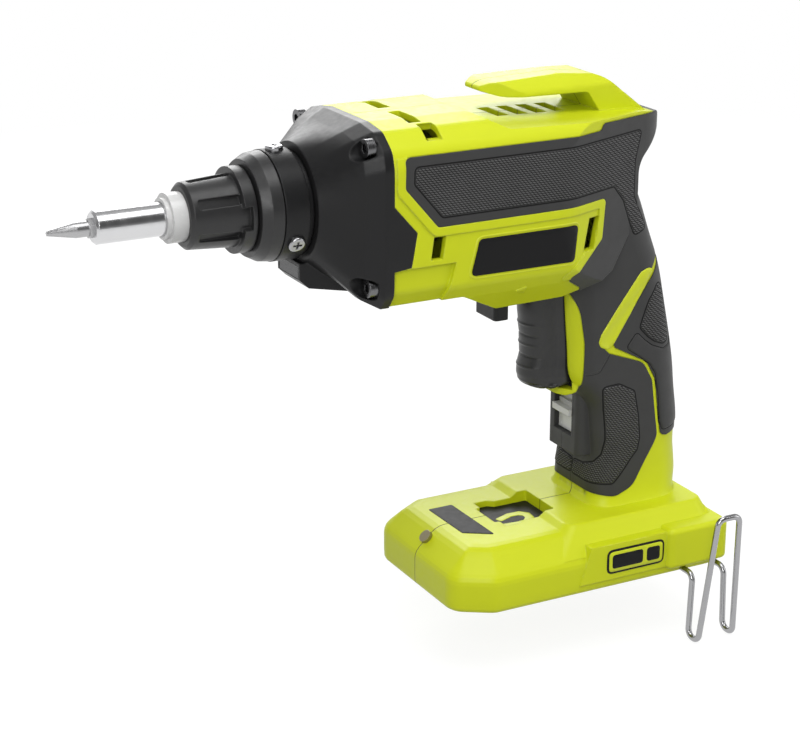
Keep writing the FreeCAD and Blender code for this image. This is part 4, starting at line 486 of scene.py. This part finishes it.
def on_handle(side):
    """Lays (way round, z) points on the handle; way 0 is the front, and about 60 is the back."""
    radius, middle, lean = 19.0, 6.0, -0.145

    def place(point, height):
        turn = point.x / radius
        out = Vector((-math.cos(turn), side * math.sin(turn), 0))
        axis = Vector(((middle + lean * point.y) * MM, 0, point.y * MM))
        return landed(surfaces[side], axis + out * (HANDLE_REACH * MM), -out, height)
    return place


def from_above(tree):
    """Lays (x, y) points on a surface from above."""
    def place(point, height):
        start = Vector((point.x * MM, point.y * MM, TOP_REACH * MM))
        return landed(tree, start, Vector((0, 0, -1)), height)
    return place


# Pieces laid on the solids

def bridge(made, rings, closed=True):
    """Rows of faces between neighbouring rings of points."""
    for a, b in zip(rings, rings[1:]):
        for i in range(0 if closed else 1, len(a)):
            made.faces.new((a[i - 1], a[i], b[i], b[i - 1]))


def piece(name, made, look, body="tool_body"):
    """Turns a mesh under construction into a piece that rides on a body."""
    bmesh.ops.recalc_face_normals(made, faces=made.faces)
    mesh = bpy.data.meshes.new(name)
    made.to_mesh(mesh)
    made.free()
    mesh.materials.append(looks[look])
    for polygon in mesh.polygons:
        polygon.use_smooth = True
    thing = bpy.data.objects.new(name, mesh)
    scene.collection.objects.link(thing)
    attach(thing, body)
    return thing


def pad(name, points, place, height, look, edge=0.45, step=1.3, sink=0.25, holes=()):
    """Raised pad with rounded edges that follows the surface under it."""
    edge_shares, shoulder, room_share = (0.0, 0.35, 1.0), 0.62, 0.55
    inside_only, nearest = 1, 1e-5
    made = bmesh.new()
    spots = []
    verts = []
    borders = []
    lines = [(resampled(points, step), -1)] + [(hole, 1) for hole in holes]
    for line, sense in lines:
        rows = [offset(line, sense * edge * share) for share in edge_shares]
        rings = [[made.verts.new(place(p, lift)) for p in row]
                 for row, lift in zip(rows, (-sink, height * shoulder, height))]
        bridge(made, rings)
        first = len(spots)
        count = len(line)
        borders += [(first + i, first + (i + 1) % count) for i in range(count)]
        spots += rows[-1]
        verts += rings[-1]
    outer = spots[:len(lines[0][0])]
    low = Vector((min(p.x for p in outer), min(p.y for p in outer)))
    high = Vector((max(p.x for p in outer), max(p.y for p in outer)))
    fixed = list(spots)

    def open_ground(point, room):
        free = all((point - p).length > room for p in fixed)
        return free and encloses(outer, point) and not any(encloses(hole, point) for hole in holes)

    for i in range(1, math.ceil((high.x - low.x) / step)):
        for k in range(1, math.ceil((high.y - low.y) / step)):
            point = low + Vector(((i + 0.5 * (k % 2)) * step, k * step))
            if open_ground(point, step * room_share):
                spots.append(point)
                verts.append(made.verts.new(place(point, height)))
    triangulated = delaunay_2d_cdt(spots, borders, [], inside_only, nearest)
    flat, faces, origin = triangulated[0], triangulated[2], triangulated[3]
    corners = [verts[o[0]] if o else made.verts.new(place(p, height)) for p, o in zip(flat, origin)]
    for face in faces:
        middle = sum((flat[i] for i in face), Vector((0, 0))) / len(face)
        if encloses(outer, middle) and not any(encloses(hole, middle) for hole in holes):
            made.faces.new([corners[i] for i in face])
    piece(name, made, look)


def strip(name, points, place, inner, outer, height, look, closed=True):
    """Thin band that follows the surface along an outline or an open line."""
    rows, step, sink = 3, 0.9, 0.12
    border = resampled(points, step, closed)
    made = bmesh.new()
    rings = []
    for k in range(rows + 1):
        line = offset(border, inner + (outer - inner) * k / rows, closed)
        lift = height if 0 < k < rows else -sink
        rings.append([made.verts.new(place(p, lift)) for p in line])
    bridge(made, rings, closed)
    piece(name, made, look)


# Trigger, as pairs of height and value: the x of its front and rear, and the share of its full width
trigger_front = [
    (77.2, -40.8), (77.4, -42.2), (77.9, -43.9), (78.9, -45.5), (80.4, -46.6), (83.0, -47.1),
    (85.6, -47.0), (91.0, -45.9), (98.5, -46.2), (104.7, -46.8), (110.0, -47.3), (116.0, -47.2),
    (120.4, -46.6),
]
trigger_rear = [
    (77.2, -37.4), (78.0, -36.2), (78.7, -34.6), (79.6, -30.0), (80.4, -28.6), (120.4, -28.6),
]
trigger_width_shares = [
    (77.2, 0.62), (77.4, 0.74), (77.9, 0.85), (78.9, 0.94), (80.4, 0.98), (83.0, 1.0), (120.4, 1.0),
]
trigger_ridges = [(104.2, 0.42), (95.6, 0.42), (86.4, 0.36)]
trigger_grooves = [(99.6, 0.50), (90.8, 0.50)]
RIDGE_WIDTH, GROOVE_WIDTH = 0.42, 0.38


def between(pairs, height):
    """Value at a height, eased between pairs of height and value."""
    for (a, first), (b, second) in zip(pairs, pairs[1:]):
        if height <= b:
            share = (height - a) / (b - a)
            share = share * share * (3 - 2 * share)
            return first + (second - first) * share
    return pairs[-1][1]


def finger_trigger():
    """Trigger with a rounded finger face, thin ridges and grooves across it, and a round lower end."""
    rear = trigger_rear[-1][1]
    nose_depth, nose_half, shoulder_half = 8.5, 9.2, 10.9
    face_steps, level_step, slack = 24, 0.25, 0.01
    crown_power, side_power = 0.35, 6
    made = bmesh.new()
    rings = []
    level = trigger_front[0][0]
    while level <= trigger_front[-1][0] + slack:
        front = between(trigger_front, level)
        swell = between(trigger_width_shares, level)
        rib = sum(h * math.exp(-((level - z) / RIDGE_WIDTH) ** 2) for z, h in trigger_ridges)
        rib -= sum(h * math.exp(-((level - z) / GROOVE_WIDTH) ** 2) for z, h in trigger_grooves)
        line = []
        for k in range(face_steps + 1):
            turn = math.pi / 2 * k / face_steps
            fade = max(0.0, math.cos(turn)) ** crown_power * (1 - (k / face_steps) ** side_power)
            reach = 1 + rib * fade / nose_depth
            x = front + nose_depth - nose_depth * math.cos(turn) * reach
            line.append((x, nose_half * swell * math.sin(turn)))
        # From the finger face the sides step out to a shoulder and run on to the rear
        start = front + nose_depth
        line += [(start + 1.4, nose_half * swell + 0.15), (start + 2.6, (nose_half + 0.6) * swell),
                 (start + 3.8, shoulder_half * swell), (rear, (shoulder_half + 0.3) * swell)]
        share = (between(trigger_rear, level) - front) / (rear - front)
        half = [Vector((front + (x - front) * share, y)) for x, y in line]
        outline = [Vector((p.x, -p.y)) for p in reversed(half[1:])] + half
        rings.append([made.verts.new((p.x * MM, p.y * MM, level * MM)) for p in outline])
        level += level_step
    bridge(made, rings)
    made.faces.new(rings[0])
    made.faces.new(rings[-1])
    return piece("finger_trigger", made, "satin_black_painted_lighter", "trigger")


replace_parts(finger_trigger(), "trigger")

spring_low, spring_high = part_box("clutch_spring")
spring_length = spring_high[0] - spring_low[0]


def clutch_coil():
    """Clutch spring: one wire wound round the spindle, between its flange and the gear hub."""
    wire_radius = 0.4 * MM
    turns, per_turn, sides = 3, 36, 10
    axis_height = (spring_low[2] + spring_high[2]) / 2
    coil_radius = (spring_high[2] - spring_low[2]) / 2 - wire_radius
    advance = (spring_length - 2 * wire_radius) / (turns * per_turn)
    made = bmesh.new()
    rings = []
    for k in range(turns * per_turn + 1):
        turn = 2 * math.pi * k / per_turn
        ring = []
        for i in range(sides):
            around = 2 * math.pi * i / sides
            out = coil_radius + wire_radius * math.cos(around)
            x = spring_low[0] + wire_radius * (1 + math.sin(around)) + advance * k
            ring.append(made.verts.new((x, out * math.sin(turn), axis_height + out * math.cos(turn))))
        rings.append(ring)
    bridge(made, rings)
    made.faces.new(rings[0])
    made.faces.new(rings[-1])
    return piece("clutch_coil", made, "bright_steel", "output_spindle")


coil = clutch_coil()
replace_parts(coil, "clutch_spring")
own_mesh(coil)

# Trim on the sides, as (x, z); on the handle, as (way round, z); on the foot and tray, as (x, y)
upper_panel = [
    (-113.6, 182.6), (-113.8, 176.8), (-102.4, 163.4), (-22.5, 163.6), (-16.4, 156.9),
    (-9.5, 141.7), (-2.6, 143.3), (-10.4, 157.0), (-10.4, 171.0), (-7.0, 182.6),
]
screw_notch = [
    (-34.0, 182.6), (-34.6, 176.0), (-36.6, 174.2), (-43.4, 174.2), (-45.4, 176.0), (-46.0, 182.6),
]
front_patch = [
    (18.1, 78.0), (23.7, 78.3), (30.5, 74.2), (31.3, 63.4), (30.9, 53.6), (29.2, 48.6), (25.6, 45.2),
    (17.7, 35.9), (12.4, 35.9), (3.9, 35.9), (0.4, 35.9), (0.4, 41.4), (6.9, 42.0), (12.1, 44.3),
    (15.1, 47.9), (17.0, 54.6), (17.3, 59.0), (17.4, 67.9),
]
wedge = [
    (43.7, 119.0), (39.6, 112.5), (35.6, 101.2), (38.3, 97.4), (40.7, 94.7), (44.0, 92.8),
    (46.4, 93.4), (47.6, 96.5), (47.6, 104.6), (46.2, 116.5),
]
back_panel = [
    (33.9, 99.4), (28.7, 93.5), (34.4, 89.0), (38.3, 85.2), (40.3, 80.4), (41.0, 70.4), (40.7, 59.3),
    (41.2, 55.0), (46.4, 55.6), (59.0, 57.5), (59.0, 117.0), (51.0, 117.0), (50.2, 95.5),
    (47.6, 91.0), (43.6, 90.2), (39.4, 92.8), (36.6, 95.8),
]
back_screw_hole = oval(45.9, 70.6, 3.3, 3.9)
grip_seam = [(-27.0, 84.2), (-21.1, 84.8), (-17.6, 90.2), (-16.6, 92.2)]
stripe = [
    (-22.5, 97.8), (-21.4, 101.0), (-12.5, 114.0), (-4.7, 125.3), (-1.8, 126.3), (1.3, 126.1),
    (0.3, 122.8), (-8.1, 107.7), (-15.9, 94.9), (-18.5, 94.3), (-21.4, 95.6),
]
arrow = [(-68.9, 129.0), (-63.6, 130.7), (-63.2, 126.8)]
side_plate = [(-86.8, 152.9), (-43.1, 152.8), (-44.8, 138.4), (-90.3, 138.7)]
badge = [(-28.7, 6.5), (-28.7, 17.2), (-1.0, 17.2), (-1.0, 6.5)]
badge_fields = {"wide": (-26.4, -11.4), "narrow": (-9.9, -3.3)}
field_low, field_high = 8.7, 15.0
sticker = [(-79.7, 16.3), (-68.6, 16.3), (-68.0, -18.5), (-79.1, -11.2)]
magnet_sign = [
    (-57.6, -0.4), (-50.4, 2.4), (-44.6, 2.2), (-41.6, -1.2), (-42.2, -6.2), (-46.4, -9.8),
    (-50.6, -10.3), (-57.8, -9.0), (-57.8, -6.0), (-50.6, -6.8), (-47.6, -6.4), (-45.6, -4.4),
    (-45.6, -2.2), (-47.2, -1.2), (-50.2, -1.2), (-56.4, -3.6),
]

for side, word in ((-1, "left"), (1, "right")):
    flank = on_side(side)
    handle = on_handle(side)
    panel = upper_panel if side < 0 else upper_panel + screw_notch
    woven = {
        "upper_panel": (panel, flank),
        "front_patch": (front_patch, handle),
        "backstrap_wedge": (wedge, handle),
    }
    for label, (points, place) in woven.items():
        shape = rounded(points, 1.6)
        pad("%s_%s" % (word, label), shape, place, 0.3, "woven_rubber")
        # Near-black band round each pad: painted shade of the gap around it.
        strip("%s_%s_groove" % (word, label), shape, place, -0.05, 0.85, 0.07,
              "seam_and_painted_groove_shade")
    back = rounded(back_panel, 1.4)
    holes = [back_screw_hole] if side > 0 else []
    pad(word + "_back_panel", back, handle, 0.3, "grip_rubber", holes=holes)
    # Near-black band round the back panel: painted shade of the gap around it.
    strip(word + "_back_panel_groove", back, handle, -0.05, 0.55, 0.06, "seam_and_painted_groove_shade")
    seam = rounded([Vector(p) for p in grip_seam], 3.0, closed=False)
    strip(word + "_grip_seam", seam, flank, -0.16, 0.16, 0.05, "seam_and_painted_groove_shade",
          closed=False)
    pad(word + "_stripe", rounded(stripe, 1.8), on_side(side, 0.7), 0.3, "lime_paint")
    pad(word + "_arrow", rounded(arrow, 0.8), flank, 0.4, "lime_paint",
        edge=0.2, step=0.6)
    plate = rounded(side_plate, 2.2)
    pad(word + "_side_plate", plate, flank, 0.5, "plate_black")
    strip(word + "_side_plate_rim", plate, flank, 0.25, 1.35, 0.3, "lime_paint")
    base = rounded(badge, 3.0)
    pad(word + "_badge_base", base, flank, 0.35, "plate_black")
    ground = offset(resampled(base, 0.8), -0.9)
    pad(word + "_badge_ground", ground, flank, 0.5, "lime_paint", edge=0.2)
    for label, (start, end) in badge_fields.items():
        corners = [(start, field_low), (start, field_high), (end, field_high), (end, field_low)]
        pad("%s_badge_%s_field" % (word, label), rounded(corners, 1.6), flank, 0.65,
            "plate_black", edge=0.25)

pad("front_label", rounded(sticker, 1.0), from_above(foot_surface), 0.15,
    "plate_black", edge=0.2, sink=0.1)
pad("magnet_sign", rounded(magnet_sign, 1.0), from_above(tray_surface), 0.15,
    "lime_paint", edge=0.2, sink=0.1, step=0.9)


# Floor, light and camera

def joined(tree, kind, *sources):
    """New node with its first inputs fed from sources."""
    made = tree.nodes.new(kind)
    for socket, source in zip(made.inputs, sources):
        tree.links.new(source, socket)
    return made


def seen_share(tree):
    """1 for rays from the camera, from metal and through glass, and 0 for soft light."""
    path = tree.nodes.new("ShaderNodeLightPath")
    share = path.outputs["Is Camera Ray"]
    for key in ("Is Glossy Ray", "Is Transmission Ray"):
        most = joined(tree, "ShaderNodeMath", share, path.outputs[key])
        most.operation = "MAXIMUM"
        share = most.outputs[0]
    return share


def diffuse_grey(tree, tone):
    """Matt grey."""
    made = tree.nodes.new("ShaderNodeBsdfDiffuse")
    made.inputs["Color"].default_value = (tone, tone, tone, 1)
    return made


def floor_white():
    """White to the eye, whiter still far away, with a soft shadow; it throws little light back."""
    near_glow, shadow_tone, bounce_tone = 0.87, 0.17, 0.38
    fade_start, fade_end = 0.45, 1.0
    material = bpy.data.materials.new("floor_white")
    material.use_nodes = True
    tree = material.node_tree
    tree.nodes.clear()
    glow = tree.nodes.new("ShaderNodeEmission")
    glow.inputs["Strength"].default_value = near_glow
    shadow = diffuse_grey(tree, shadow_tone)
    bounce = diffuse_grey(tree, bounce_tone)
    near = joined(tree, "ShaderNodeAddShader", glow.outputs[0], shadow.outputs[0])
    position = tree.nodes.new("ShaderNodeNewGeometry").outputs["Position"]
    distance = joined(tree, "ShaderNodeVectorMath", position)
    distance.operation = "LENGTH"
    far_share = joined(tree, "ShaderNodeMapRange", distance.outputs["Value"])
    far_share.inputs["From Min"].default_value = fade_start
    far_share.inputs["From Max"].default_value = fade_end
    white = tree.nodes.new("ShaderNodeEmission")
    faded = joined(tree, "ShaderNodeMixShader",
                   far_share.outputs["Result"], near.outputs[0], white.outputs[0])
    mixed = joined(tree, "ShaderNodeMixShader",
                   seen_share(tree), bounce.outputs[0], faded.outputs[0])
    joined(tree, "ShaderNodeOutputMaterial", mixed.outputs[0])
    return material


def stage_floor():
    """Wide floor, level with the wire hook's lowest point."""
    half_size, segments = 4.0, 8
    made = bmesh.new()
    bmesh.ops.create_grid(made, x_segments=segments, y_segments=segments, size=half_size)
    for v in made.verts:
        v.co.z = cad_low.z
    mesh = bpy.data.meshes.new("floor")
    made.to_mesh(mesh)
    made.free()
    mesh.materials.append(floor_white())
    floor = bpy.data.objects.new("floor", mesh)
    scene.collection.objects.link(floor)


# Sky, as pairs of height above the horizon and tone: soft light, and what metal sees in front and behind
SOFT_SKY = [(0.0, 0.10), (0.6, 0.42), (1.0, 0.50)]
FRONT_SKY = [(0.0, 0.30), (0.25, 0.10), (0.65, 0.10), (0.85, 0.50), (1.0, 0.60)]
BACK_SKY = [(0.0, 1.0), (0.22, 1.0), (0.38, 0.55), (0.70, 0.35), (1.0, 0.60)]


def sky_axes(tree):
    """Direction of a ray into the sky: 1 is the share towards the back, and 2 the share upwards."""
    place = tree.nodes.new("ShaderNodeTexCoord")
    return joined(tree, "ShaderNodeSeparateXYZ", place.outputs["Generated"]).outputs


def sky(tree, tones):
    """Grey background by height above the horizon."""
    ramp = joined(tree, "ShaderNodeValToRGB", sky_axes(tree)[2])
    stops = ramp.color_ramp.elements
    while len(stops) < len(tones):
        stops.new(0.5)
    for stop, (height, tone) in zip(stops, tones):
        stop.position = height
        stop.color = (tone, tone, tone, 1)
    return joined(tree, "ShaderNodeBackground", ramp.outputs[0]).outputs[0]


def studio_world():
    """White to the eye; soft light comes mostly from above, and metal sees a dark room in front."""
    front_end, back_start = -0.25, 0.15
    world = bpy.data.worlds.new("studio")
    scene.world = world
    world.use_nodes = True
    tree = world.node_tree
    tree.nodes.clear()
    white = tree.nodes.new("ShaderNodeBackground")
    white.inputs["Color"].default_value = (1, 1, 1, 1)
    behind = joined(tree, "ShaderNodeMapRange", sky_axes(tree)[1])
    behind.inputs["From Min"].default_value = front_end
    behind.inputs["From Max"].default_value = back_start
    camera = tree.nodes.new("ShaderNodeLightPath").outputs["Is Camera Ray"]
    room = joined(tree, "ShaderNodeMixShader",
                  behind.outputs["Result"], sky(tree, FRONT_SKY), sky(tree, BACK_SKY))
    seen = joined(tree, "ShaderNodeMixShader", camera, room.outputs[0], white.outputs[0])
    whole = joined(tree, "ShaderNodeMixShader",
                   seen_share(tree), sky(tree, SOFT_SKY), seen.outputs[0])
    joined(tree, "ShaderNodeOutputWorld", whole.outputs[0])


def softbox(name, place, target, size, power):
    """Rectangular lamp that faces a target."""
    lamp = bpy.data.lights.new(name, "AREA")
    lamp.shape = "RECTANGLE"
    lamp.size, lamp.size_y = size
    lamp.energy = power
    made = bpy.data.objects.new(name, lamp)
    scene.collection.objects.link(made)
    made.location = place
    made.rotation_euler = (Vector(target) - Vector(place)).to_track_quat("-Z", "Y").to_euler()


def photo_camera():
    """Camera fitted to the straight edges of the foot in the photograph."""
    data = bpy.data.cameras.new("photo_camera")
    data.lens = 94.23
    data.sensor_width = 36.0
    data.sensor_fit = "HORIZONTAL"
    data.clip_start = 0.05
    data.clip_end = 50.0
    made = bpy.data.objects.new("photo_camera", data)
    scene.collection.objects.link(made)
    made.location = (-0.4593, -0.6805, 0.3609)
    made.rotation_euler = (math.radians(70.63), 0.0, math.radians(-27.75))
    scene.camera = made


stage_floor()
studio_world()
tool_middle = (-0.08, 0.0, 0.10)
softbox("top_light", (-0.15, -0.30, 1.25), tool_middle, (0.9, 0.7), 7.2)
softbox("key_light", (-0.80, -1.00, 0.72), tool_middle, (0.6, 0.8), 8.6)
softbox("fill_light", (0.85, -0.55, 0.45), tool_middle, (0.5, 0.8), 3.0)
softbox("back_light", (0.20, 0.95, 0.65), tool_middle, (0.8, 0.6), 7.0)
photo_camera()
scene.view_settings.view_transform = "Standard"
